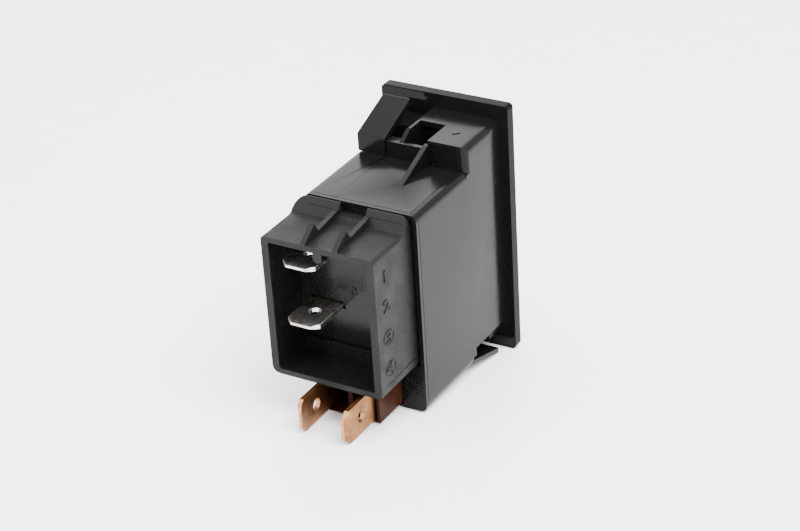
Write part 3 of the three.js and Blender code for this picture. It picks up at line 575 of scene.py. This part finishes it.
def rounded(piece, width, segments=2):
    """Rounds every edge sharper than 28 degrees, and shades the faces between them smooth."""
    modifier = piece.modifiers.new("round", "BEVEL")
    modifier.width = width
    modifier.segments = segments
    modifier.limit_method = "ANGLE"
    modifier.angle_limit = math.radians(28)
    modifier.use_clamp_overlap = True
    modifier.miter_outer = "MITER_ARC"
    modifier.harden_normals = True
    piece.data.shade_smooth()
    applied(piece)
    return piece


def block_mesh(low, high):
    """Closed box between two corners."""
    shape = bmesh.new()
    size = Vector(high) - Vector(low)
    middle = (Vector(high) + Vector(low)) / 2
    bmesh.ops.create_cube(shape, size=1.0, matrix=Matrix.Translation(middle) @ Matrix.Diagonal((*size, 1)))
    return mesh_of(shape, "block")


def prism_mesh(points, direction):
    """Closed prism over a flat outline of points, pushed out along a direction."""
    shape = bmesh.new()
    face = shape.faces.new([shape.verts.new(point) for point in points])
    moved = bmesh.ops.extrude_face_region(shape, geom=[face])
    bmesh.ops.translate(shape, vec=direction,
                        verts=[item for item in moved["geom"] if isinstance(item, bmesh.types.BMVert)])
    bmesh.ops.recalc_face_normals(shape, faces=shape.faces)
    return mesh_of(shape, "prism")


def curve_mesh(curve, matrix):
    """A curve or text turned into a mesh in its place."""
    holder = bpy.data.objects.new("curve", curve)
    bpy.context.scene.collection.objects.link(holder)
    mesh = evaluated(holder)
    bpy.data.objects.remove(holder)
    shape = bmesh.new()
    shape.from_mesh(mesh)
    bmesh.ops.remove_doubles(shape, verts=shape.verts, dist=0.001 * MM)
    shape.to_mesh(mesh)
    shape.free()
    mesh.transform(matrix)
    return mesh


def lead_in(piece, box, thickness_axis, run=0.75 * MM, share_left=0.5):
    """Thins the tip of a blade that points along Y to a lead-in on both of its faces."""
    tip = box[1].y
    middle = (box[0] + box[1]) / 2
    shape = bmesh.new()
    shape.from_mesh(piece.data)
    bmesh.ops.bisect_plane(shape, geom=[*shape.verts, *shape.edges, *shape.faces],
                           plane_co=(0, tip - run, 0), plane_no=Y_AXIS)
    for vert in shape.verts:
        past = (vert.co.y - (tip - run)) / run
        if past > 0.001:
            off = (vert.co - middle).dot(thickness_axis)
            vert.co -= thickness_axis * off * (1 - share_left) * min(1.0, past)
    shape.to_mesh(piece.data)
    shape.free()


def figure_mesh(text, size, height, place, right, up):
    """Raised lettering whose lines run along right, standing out of the face at place."""
    curve = bpy.data.curves.new("figure", "FONT")
    curve.body = text
    curve.size = size
    curve.align_x = "CENTER"
    curve.align_y = "CENTER"
    curve.extrude = height
    curve.bevel_depth = 0.02 * MM
    curve.resolution_u = 4
    turn = Matrix((right, up, right.cross(up).normalized())).transposed().to_4x4()
    return curve_mesh(curve, Matrix.Translation(place) @ turn)


def wire_ring(radius, thickness, centre, stretch):
    """Thin raised ring on a side wall, about the X axis and stretched along Y."""
    curve = bpy.data.curves.new("ring", "CURVE")
    curve.dimensions = "3D"
    curve.bevel_depth = thickness
    ring = curve.splines.new("POLY")
    steps = 32
    ring.points.add(steps - 1)
    for i, point in enumerate(ring.points):
        turn = 2 * math.pi * i / steps
        point.co = (0, radius * math.cos(turn) * stretch, radius * math.sin(turn), 1)
    ring.use_cyclic_u = True
    return curve_mesh(curve, Matrix.Translation(centre))


def seat(node, x, z):
    """Where a straight line from the front meets a node, and the way that its face looks there."""
    shape = bmesh.new()
    shape.from_mesh(frame["nodes"][node].data)
    ahead = Vector((x, -100 * MM, z))
    place, normal, _, _ = BVHTree.FromBMesh(shape).ray_cast(ahead, Y_AXIS)
    shape.free()
    if place is None:
        raise RuntimeError(f"{node} has no face at {x}, {z}")
    return place, normal


def smooth_by_angle(piece, angle):
    """Shades a piece smooth, except over edges sharper than angle in degrees."""
    piece.data.shade_smooth()
    piece.data.set_sharp_from_angle(angle=math.radians(angle))
    return piece


# ---- geometry node trees ----
class Tree:
    """A geometry node group with named number inputs."""

    def __init__(self, name, inputs, material):
        self.group = bpy.data.node_groups.new(name, "GeometryNodeTree")
        self.group.interface.new_socket("Geometry", in_out="OUTPUT", socket_type="NodeSocketGeometry")
        self.ids = {}
        for label, kind in inputs.items():
            socket = self.group.interface.new_socket(label, in_out="INPUT", socket_type=kind)
            self.ids[label] = socket.identifier
        self.given = self.group.nodes.new("NodeGroupInput")
        self.material = material

    def node(self, kind, links=(), **settings):
        """New node whose inputs are linked to sockets or set to values."""
        made = self.group.nodes.new(kind)
        for name, value in settings.items():
            setattr(made, name, value)
        for socket, source in dict(links).items():
            if isinstance(source, bpy.types.NodeSocket):
                self.group.links.new(source, made.inputs[socket])
            else:
                made.inputs[socket].default_value = source
        return made

    def value(self, label):
        """The group input of that name."""
        return self.given.outputs[label]

    def close(self, geometry):
        """Ends the tree with real, finished geometry."""
        real = self.node("GeometryNodeRealizeInstances", {"Geometry": geometry})
        shaded = self.node("GeometryNodeSetMaterial", {"Geometry": real.outputs["Geometry"]})
        shaded.inputs["Material"].default_value = finish_of(self.material)
        out = self.group.nodes.new("NodeGroupOutput")
        self.group.links.new(shaded.outputs["Geometry"], out.inputs[0])

    def grown(self, name, values, matrix):
        """Runs the tree with its inputs set, and gives a plain object in its place."""
        holder = bpy.data.objects.new(name, bpy.data.meshes.new(name))
        bpy.context.scene.collection.objects.link(holder)
        modifier = holder.modifiers.new("grow", "NODES")
        modifier.node_group = self.group
        for label, value in values.items():
            modifier[self.ids[label]] = value
        applied(holder)
        holder.data.transform(matrix)
        return holder


NUMBER, WHOLE = "NodeSocketFloat", "NodeSocketInt"


def wound_wire_tree(material):
    """Round wire wound about Z: closed wire ends, even pitch."""
    tree = Tree("wound_wire_" + material,
                {"Radius": NUMBER, "Height": NUMBER, "Turns": NUMBER, "Wire radius": NUMBER}, material)
    spiral = tree.node("GeometryNodeCurveSpiral", {
        "Resolution": 36, "Rotations": tree.value("Turns"), "Start Radius": tree.value("Radius"),
        "End Radius": tree.value("Radius"), "Height": tree.value("Height")})
    section = tree.node("GeometryNodeCurvePrimitiveCircle", {
        "Resolution": 10, "Radius": tree.value("Wire radius")})
    wire = tree.node("GeometryNodeCurveToMesh", {
        "Curve": spiral.outputs["Curve"], "Profile Curve": section.outputs["Curve"],
        "Fill Caps": True})
    smooth = tree.node("GeometryNodeSetShadeSmooth", {"Geometry": wire.outputs["Mesh"]})
    tree.close(smooth.outputs["Geometry"])
    return tree


def ray_ring_tree(material):
    """Small bars that stand round a centre like the rays of a star."""
    tree = Tree("ray_ring", {"Radius": NUMBER, "Rays": WHOLE, "Ray length": NUMBER,
                             "Ray width": NUMBER, "Relief": NUMBER}, material)
    ring = tree.node("GeometryNodeMeshCircle", {
        "Vertices": tree.value("Rays"), "Radius": tree.value("Radius")})
    size = tree.node("ShaderNodeCombineXYZ", {
        "X": tree.value("Ray length"), "Y": tree.value("Ray width"), "Z": tree.value("Relief")})
    ray = tree.node("GeometryNodeMeshCube", {"Size": size.outputs["Vector"]})
    place = tree.node("GeometryNodeInputPosition")
    turn = tree.node("FunctionNodeAlignEulerToVector", {"Vector": place.outputs["Position"]}, axis="X")
    rays = tree.node("GeometryNodeInstanceOnPoints", {
        "Points": ring.outputs["Mesh"], "Instance": ray.outputs["Mesh"],
        "Rotation": turn.outputs["Rotation"]})
    tree.close(rays.outputs["Instances"])
    return tree


def pad_grid_tree(material):
    """Domed solder joints in a square grid."""
    tree = Tree("solder_pads", {"Columns": WHOLE, "Rows": WHOLE, "Width": NUMBER, "Height": NUMBER,
                                "Pad radius": NUMBER}, material)
    grid = tree.node("GeometryNodeMeshGrid", {
        "Size X": tree.value("Width"), "Size Y": tree.value("Height"),
        "Vertices X": tree.value("Columns"), "Vertices Y": tree.value("Rows")})
    dome = tree.node("GeometryNodeMeshIcoSphere", {"Radius": tree.value("Pad radius"), "Subdivisions": 2})
    pads = tree.node("GeometryNodeInstanceOnPoints", {
        "Points": grid.outputs["Mesh"], "Instance": dome.outputs["Mesh"], "Scale": (1.0, 1.0, 0.5)})
    smooth = tree.node("GeometryNodeSetShadeSmooth", {"Geometry": pads.outputs["Instances"]})
    tree.close(smooth.outputs["Geometry"])
    return tree


# ---- operators ----
class MODULE_OT_stage(bpy.types.Operator):
    """Camera, floor, surroundings and softboxes."""
    bl_idname = "module.stage"
    bl_label = "Stage"

    def execute(self, context):
        look = studio()
        back = Vector((math.sin(look.azimuth) * math.cos(look.elevation),
                       -math.cos(look.azimuth) * math.cos(look.elevation), math.sin(look.elevation)))
        self.camera(look, back)
        # the module lies on the lower edge of its bezel and the tips of its copper blades
        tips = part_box("copper_terminal_left")
        touching = tips[1].y - 1.2 * MM  # where the blades' lower edge turns up to the tip
        rise = math.atan2(tips[0].z - LOW.z, touching)
        air = 0.1 * MM
        lean = Matrix.Translation((0, 0, LOW.z - air)) @ Matrix.Rotation(rise, 4, "X")
        self.floor(lean)
        self.lights(look, lean)
        return {"FINISHED"}

    def camera(self, look, back):
        right = (-back).cross(Z_AXIS).normalized()
        up = right.cross(-back)
        axes = Matrix((right, up, back)).transposed().to_4x4()
        lens = bpy.data.cameras.new("camera")
        lens.lens = look.lens
        lens.sensor_width = 36.0
        lens.clip_start = 0.01
        lens.clip_end = 20.0
        camera = bpy.data.objects.new("camera", lens)
        camera.matrix_world = (Matrix.Translation(Vector(look.aim) + back * look.distance)
                               @ axes @ Matrix.Rotation(look.roll, 4, "Z"))
        bpy.context.scene.collection.objects.link(camera)
        bpy.context.scene.camera = camera

    def floor(self, lean):
        shape = bmesh.new()
        bmesh.ops.create_circle(shape, cap_ends=True, radius=2.5, segments=96, matrix=lean)
        placed("studio_floor", mesh_of(shape, "studio_floor"), ["studio_floor"])

    def lights(self, look, lean):
        """White surroundings that fade towards the front, and three softboxes."""
        world = bpy.data.worlds.new("white_room")
        world.use_nodes = True
        nodes, links = world.node_tree.nodes, world.node_tree.links
        room = nodes["Background"]
        room.inputs["Strength"].default_value = look.sky
        bearing = nodes.new("ShaderNodeTexCoord")
        split = nodes.new("ShaderNodeSeparateXYZ")
        links.new(bearing.outputs["Generated"], split.inputs["Vector"])
        fade = nodes.new("ShaderNodeMapRange")
        fade.interpolation_type = "SMOOTHSTEP"
        set_range(fade, -0.85, 0.1, look.front, 1.0)
        links.new(split.outputs["Y"], fade.inputs["Value"])
        links.new(fade.outputs["Result"], room.inputs["Color"])
        bpy.context.scene.world = world
        middle = Vector((0, 0.5 * BODY_REAR, 0))
        softboxes = (
            ("key", look.key, 0.55, (-0.35, 0.15, 0.75)),
            ("front_fill", look.fill, 0.5, (0.3, -0.6, 0.45)),
            ("rear_fill", look.fill * 0.5, 0.4, (0.5, 0.6, 0.3)),
        )
        for name, power, size, place in softboxes:
            light = bpy.data.lights.new(name, "AREA")
            light.energy = power
            light.shape = "SQUARE"
            light.size = size
            holder = bpy.data.objects.new(name, light)
            spot = lean.to_3x3() @ Vector(place) + middle
            holder.matrix_world = (Matrix.Translation(spot)
                                   @ (spot - middle).to_track_quat("Z", "Y").to_matrix().to_4x4())
            bpy.context.scene.collection.objects.link(holder)


class MODULE_OT_housing(bpy.types.Operator):
    """Black housing with its bezel, collar, deck lines and rear mark."""
    bl_idname = "module.housing"
    bl_label = "Housing"

    def execute(self, context):
        housing = placed("housing_shell", node_mesh("housing"), ["polished_black"])
        carved(housing, self.cutters(sizes().line))
        rounded(housing, sizes().edge)
        carried(housing, "gloss_black", "housing")
        self.marks()
        return {"FINISHED"}

    def cutters(self, line):
        """The fine lines that the mould leaves, the collar's sunk panel and its rounded corner."""
        groove = DECK_Z - 0.08 * MM  # bottom of the deck's lines
        end = BODY_REAR - 0.75 * MM  # rear of the line round the body
        front_end = 1.35 * MM  # front of the line behind the bezel
        parting_x = 5.0 * MM
        edge_x = -SIDE + 1.5 * MM
        across = block_mesh((-SIDE - SPARE, end - line, groove), (SIDE + SPARE, end, DECK_Z + SPARE))
        down = self.side_lines(end - line, end, FLOOR_Z + 2 * MM, groove + 0.01 * MM, 0.07 * MM)
        parting = block_mesh((parting_x, COLLAR_Y + 0.3 * MM, DECK_Z - 0.05 * MM),
                             (parting_x + line / 2, end - 2 * line, DECK_Z + SPARE))
        edge = block_mesh((edge_x, COLLAR_Y + 0.2 * MM, groove),
                          (edge_x + line, end - 2 * line, DECK_Z + SPARE))
        panel = block_mesh((-SIDE + 1.7 * MM, COLLAR_Y - 0.3 * MM, DECK_Z + 0.4 * MM),
                           (-3.95 * MM, COLLAR_Y + SPARE, COLLAR_Z - 0.5 * MM))
        ledge = self.side_lines(front_end, front_end + line, FLOOR_Z + 3 * MM, COLLAR_Z - 3 * MM,
                                0.06 * MM)
        return [across, *down, parting, edge, panel, *ledge, self.corner(1.3 * MM)]

    def side_lines(self, start, end, low, high, depth):
        """Upright lines in both side walls, from start to end along the body."""
        return [block_mesh((x0, start, low), (x1, end, high))
                for x0, x1 in ((-SIDE - SPARE, -SIDE + depth), (SIDE - depth, SIDE + SPARE))]

    def corner(self, radius):
        """Cutter that rounds the collar's upright rear corner."""
        over = 0.02 * MM
        centre = Vector((-SIDE + radius, COLLAR_Y - radius))
        steps = 8
        arc = [centre + radius * Vector((math.cos(turn), math.sin(turn)))
               for turn in (math.pi / 2 * (1 + i / steps) for i in range(steps + 1))]
        outline = [(-SIDE - over, COLLAR_Y + over), (centre.x, COLLAR_Y + over), *arc,
                   (-SIDE - over, centre.y)]
        low = DECK_Z - 0.6 * MM
        return prism_mesh([(x, y, low) for x, y in outline], Z_AXIS * (COLLAR_Z + SPARE - low))

    def marks(self):
        """Small raised marks: a star of rays on the rear wall and a triangle on the collar."""
        relief = sizes().relief
        middle = (-8.1 * MM, BODY_REAR, -16.3 * MM)
        star = ray_ring_tree("spark_black").grown("rear_star", {
            "Radius": sizes().star * 0.66, "Rays": sizes().star_rays, "Ray length": sizes().star * 0.62,
            "Ray width": 0.16 * MM, "Relief": 2 * relief},
            Matrix.Translation(middle) @ Matrix.Rotation(math.pi / 2, 4, "X"))
        carried(star, "matte_black")
        sunk = 0.05 * MM  # the triangle starts inside the collar
        corners = ((-5.6 * MM, 6.9 * MM), (-7.3 * MM, 7.5 * MM), (-6.2 * MM, 8.4 * MM))
        arrow = prism_mesh([(x, y, COLLAR_Z - sunk) for x, y in corners], Z_AXIS * (relief + sunk))
        carried(rounded(placed("collar_mark", arrow, ["polished_black"]), 0.04 * MM), "gloss_black")


class MODULE_OT_latches(bpy.types.Operator):
    """The two sprung arms that grip the panel."""
    bl_idname = "module.latches"
    bl_label = "Panel latches"

    def execute(self, context):
        for node, body in (("top_latch", "upper_latch"), ("bottom_latch", "lower_latch")):
            arm = placed(node + "_arm", self.rooted(node), ["polished_black"])
            carried(rounded(arm, sizes().edge, 3), "gloss_black", node, body=body)
        return {"FINISHED"}

    def rooted(self, node):
        """The arm with its root grown over most of the gap to the housing."""
        mesh = node_mesh(node)
        low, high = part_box(node)
        side = 1 if low.z > 0 else -1
        root = low.z if side > 0 else high.z
        root_length, growth = 0.6 * MM, 0.25 * MM
        for vert in mesh.vertices:
            if vert.co.y > high.y - root_length and abs(vert.co.z - root) < 0.2 * MM:
                vert.co.z -= side * growth
        return mesh


class MODULE_OT_rocker(bpy.types.Operator):
    """Rocker button with its lens, marks, pivot pin and lamp."""
    bl_idname = "module.rocker"
    bl_label = "Rocker button"

    def execute(self, context):
        finished("rocker_cap", "rocker_button", "polished_black", "gloss_black", 0.28 * MM, 3, "rocker")
        for name, text, height in (("on", "I", 0.6552 * HIGH.z), ("off", "O", -0.5 * HIGH.z)):
            place, normal = seat("rocker_button", 0.0, height)
            mark = figure_mesh(text, 1.2 * sizes().figure, sizes().relief, place, X_AXIS,
                               normal.cross(X_AXIS).normalized())
            carried(placed("rocker_mark_" + name, mark, ["natural_nylon"]), "white_plastic",
                    body="rocker")
        finished("symbol_window", "symbol_lens", "frosted_lens", "lens", 0.2 * MM, 3, "rocker")
        finished("pivot_pin", "rocker_pivot_pin", "steel_plate", "steel", 0.15 * MM)
        finished("lamp_socket", "lamp_holder", "natural_nylon", "white_plastic", 0.12 * MM)
        lamp = placed("pilot_bulb", node_mesh("pilot_lamp"), ["bulb_glass"])
        carried(smooth_by_angle(lamp, 50), "lamp_glass", "pilot_lamp")
        return {"FINISHED"}


class MODULE_OT_plunger(bpy.types.Operator):
    """White plunger with its copper bridge and spring."""
    bl_idname = "module.plunger"
    bl_label = "Plunger and bridge"

    def execute(self, context):
        finished("push_plunger", "contact_plunger", "natural_nylon", "white_plastic", 0.15 * MM,
                 body="plunger")
        finished("bridge_strip", "contact_bridge", "copper_mill", "copper", sizes().stamped_edge,
                 body="plunger")
        self.spring()
        return {"FINISHED"}

    def spring(self):
        """The spring at its full length. The rocker shortens the real spring; this one stays rigid."""
        low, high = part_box("plunger_spring")
        wire = 0.2 * MM
        radius = (high.x - low.x) / 2 - wire
        centre = (low + high) / 2
        bore = 6.5 * MM  # bottom of the plunger's bore at rest
        start = bore + GAP + wire
        run = high.y - wire - start
        place = Matrix.Translation((centre.x, start, centre.z)) @ Matrix.Rotation(-math.pi / 2, 4, "X")
        spring = wound_wire_tree("steel_plate").grown("return_spring", {
            "Radius": radius, "Height": run, "Turns": float(sizes().spring_turns),
            "Wire radius": wire}, place)
        carried(spring, "steel", "plunger_spring")
        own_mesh(spring)


class MODULE_OT_copper(bpy.types.Operator):
    """The two stamped copper terminals."""
    bl_idname = "module.copper"
    bl_label = "Copper terminals"

    def execute(self, context):
        for node in ("copper_terminal_left", "copper_terminal_right"):
            blade = placed(node + "_strip", node_mesh(node), ["copper_mill", "copper_sheared"])
            lead_in(blade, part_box(node), X_AXIS, run=0.5 * MM, share_left=0.7)
            rounded(blade, sizes().stamped_edge)
            self.tear(blade)
            carried(blade, "copper", node)
        return {"FINISHED"}

    def tear(self, blade):
        """Gives the stamped rim the paler, torn finish."""
        for face in blade.data.polygons:
            if abs(face.normal.x) < 0.5 and face.center.y > BASE[1].y:
                face.material_index = 1


class MODULE_OT_base(bpy.types.Operator):
    """Brown phenolic base that grips the copper blades."""
    bl_idname = "module.base"
    bl_label = "Switch base"

    def execute(self, context):
        finished("phenolic_base", "switch_base", "phenolic_brown", "phenolic", 0.2 * MM, 3)
        return {"FINISHED"}


class MODULE_OT_shroud(bpy.types.Operator):
    """Matte connector shroud with its keying ribs and terminal figures."""
    bl_idname = "module.shroud"
    bl_label = "Connector shroud"

    def execute(self, context):
        right = SHROUD[0].x
        shroud = placed("connector_shroud", node_mesh("cartridge_shroud"), ["spark_black"])
        carved(shroud, [self.slanting_line(right - SPARE)])
        rounded(shroud, sizes().edge)
        carried(shroud, "matte_black", "cartridge_shroud")
        self.figures(right)
        return {"FINISHED"}

    def slanting_line(self, outside):
        """Cutter of the line low on the right wall, from outside it to 0.15 mm deep."""
        front, rear = 29.9 * MM, 39.4 * MM
        return prism_mesh([(outside, front, -9.75 * MM), (outside, front, -9.95 * MM),
                           (outside, rear, -10.35 * MM), (outside, rear, -10.2 * MM)],
                          X_AXIS * 1.15 * MM)

    def figures(self, right):
        """Terminal figures on the right wall, two in rings, and small ones on the inner back wall."""
        relief = sizes().relief
        row_y = 38.1 * MM
        for number, height in ((1, 9.9), (2, 4.45), (3, -1.43), (4, -7.4)):
            centre = Vector((right, row_y, height * MM))
            self.raised(f"terminal_figure_{number}", figure_mesh(
                str(number), sizes().figure, relief, centre, -1.5 * Y_AXIS, Z_AXIS))
            if number > 2:
                ring = wire_ring(1.35 * MM, 0.1 * MM, centre, stretch=1.15)
                self.raised(f"terminal_ring_{number}", ring)
        small = 0.8
        for name, text, x, z in (("a", "3", 4.9, 2.3), ("b", "0", 0.4, 1.8)):
            self.raised("inner_figure_" + name, figure_mesh(
                text, sizes().figure * small, relief * small, Vector((x * MM, SHROUD_BACK, z * MM)),
                -X_AXIS, Z_AXIS))

    def raised(self, name, mesh):
        carried(placed(name, mesh, ["spark_black"]), "matte_black")


class MODULE_OT_blades(bpy.types.Operator):
    """The relay's two nickel-plated blades."""
    bl_idname = "module.blades"
    bl_label = "Relay blades"

    def execute(self, context):
        for node in ("relay_blade_upper", "relay_blade_lower"):
            blade = placed(node + "_plate", node_mesh(node), ["nickel_plate", "nickel_rim"])
            lead_in(blade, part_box(node), Z_AXIS)
            rounded(blade, 0.13 * MM)
            # painted highlight along the blade's arrises
            self.rub(blade)
            carried(blade, "nickel", node)
        return {"FINISHED"}

    def rub(self, blade):
        """Paints a highlight on the blade: gives the small sloping faces along the arrises the brighter
        finish.
        """
        for face in blade.data.polygons:
            if 0.2 < abs(face.normal.z) < 0.93 and face.area < 0.9 * MM * MM:
                # these faces take the painted highlight colour
                face.material_index = 1


class MODULE_OT_relay_case(bpy.types.Operator):
    """Relay cover and circuit board with its solder joints."""
    bl_idname = "module.relay_case"
    bl_label = "Relay cover and board"

    def execute(self, context):
        finished("relay_case", "relay_cover", "spark_black", "matte_black", sizes().edge)
        finished("circuit_board", "relay_board", "board_laminate", "board", 0.08 * MM, 1)
        low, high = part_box("relay_board")
        centre = (low + high) / 2
        pads = pad_grid_tree("steel_plate").grown("solder_joints", {
            "Columns": 6, "Rows": 8, "Width": (high.x - low.x) * 0.8, "Height": (high.z - low.z) * 0.85,
            "Pad radius": 0.55 * MM},
            Matrix.Translation((centre.x, high.y, centre.z)) @ Matrix.Rotation(math.pi / 2, 4, "X"))
        carried(pads, "steel")
        return {"FINISHED"}


class MODULE_OT_coil(bpy.types.Operator):
    """Bobbin, wound wire and core."""
    bl_idname = "module.coil"
    bl_label = "Coil"

    def execute(self, context):
        finished("bobbin_spool", "coil_bobbin", "natural_nylon", "white_plastic", 0.1 * MM)
        finished("iron_core", "relay_core", "steel_plate", "steel", 0.12 * MM)
        low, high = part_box("coil_winding")
        centre = (low + high) / 2
        wire = sizes().winding_wire / 2
        run = high.z - low.z - 2 * wire
        pitch = 2.1 * wire
        winding = wound_wire_tree("enamel_wire").grown("wound_wire", {
            "Radius": (high.x - low.x) / 2 - wire, "Height": run, "Turns": float(round(run / pitch)),
            "Wire radius": wire}, Matrix.Translation((centre.x, centre.y, low.z + wire)))
        carried(winding, "enamelled_wire", "coil_winding")
        return {"FINISHED"}


class MODULE_OT_magnet(bpy.types.Operator):
    """Yoke, armature, its spring and the relay's contacts."""
    bl_idname = "module.magnet"
    bl_label = "Armature and contacts"

    def execute(self, context):
        pieces = (
            ("yoke_bracket", "relay_yoke", "steel_plate", "steel", "housing_body"),
            ("armature_plate", "relay_armature", "steel_plate", "steel", "armature"),
            ("armature_leaf_spring", "armature_spring", "nickel_plate", "nickel", "housing_body"),
            ("contact_leaf", "moving_contact_leaf", "copper_mill", "copper", "armature"),
            ("contact_post", "fixed_contact", "copper_mill", "copper", "housing_body"),
        )
        for name, node, material, slot, body in pieces:
            finished(name, node, material, slot, 0.07 * MM, body=body)
        return {"FINISHED"}


class MODULE_OT_electronics(bpy.types.Operator):
    """Timer chip, capacitor and resistor."""
    bl_idname = "module.electronics"
    bl_label = "Electronics"

    def execute(self, context):
        pieces = (
            ("chip_body", "timer_chip", "spark_black", "matte_black"),
            ("capacitor_can", "timing_capacitor", "shrink_sleeve", "capacitor_sleeve"),
            ("resistor_body", "shunt_resistor", "resistor_lacquer", "resistor_body"),
        )
        for name, node, material, slot in pieces:
            finished(name, node, material, slot, 0.25 * MM, 3)
        return {"FINISHED"}


class MODULE_PT_sidebar(bpy.types.Panel):
    """Lists the pieces of the switch module."""
    bl_idname = "MODULE_PT_sidebar"
    bl_label = "Switch module"
    bl_space_type = "VIEW_3D"
    bl_region_type = "UI"
    bl_category = "Switch"

    def draw(self, context):
        for operator in OPERATORS:
            self.layout.operator(operator.bl_idname)
        for group in (context.scene.module_sizes, context.scene.module_finishes,
                      context.scene.module_studio):
            box = self.layout.box()
            for name in group.bl_rna.properties.keys():
                if name not in ("rna_type", "name"):
                    box.prop(group, name)


OPERATORS = (MODULE_OT_stage, MODULE_OT_housing, MODULE_OT_latches, MODULE_OT_rocker, MODULE_OT_plunger,
             MODULE_OT_copper, MODULE_OT_base, MODULE_OT_shroud, MODULE_OT_blades, MODULE_OT_relay_case,
             MODULE_OT_coil, MODULE_OT_magnet, MODULE_OT_electronics)
GROUPS = {"module_sizes": ModuleSizes, "module_finishes": ModuleFinishes, "module_studio": StudioSettings}


def register():
    for group in GROUPS.values():
        bpy.utils.register_class(group)
    for name, group in GROUPS.items():
        setattr(bpy.types.Scene, name, PointerProperty(type=group))
    for made in (*OPERATORS, MODULE_PT_sidebar):
        bpy.utils.register_class(made)


def unregister():
    for made in reversed((*OPERATORS, MODULE_PT_sidebar)):
        bpy.utils.unregister_class(made)
    for name in GROUPS:
        delattr(bpy.types.Scene, name)
    for group in GROUPS.values():
        bpy.utils.unregister_class(group)


def main():
    register()
    for operator in OPERATORS:
        family, action = operator.bl_idname.split(".")
        getattr(getattr(bpy.ops, family), action)()


if __name__ == "__main__":
    main()
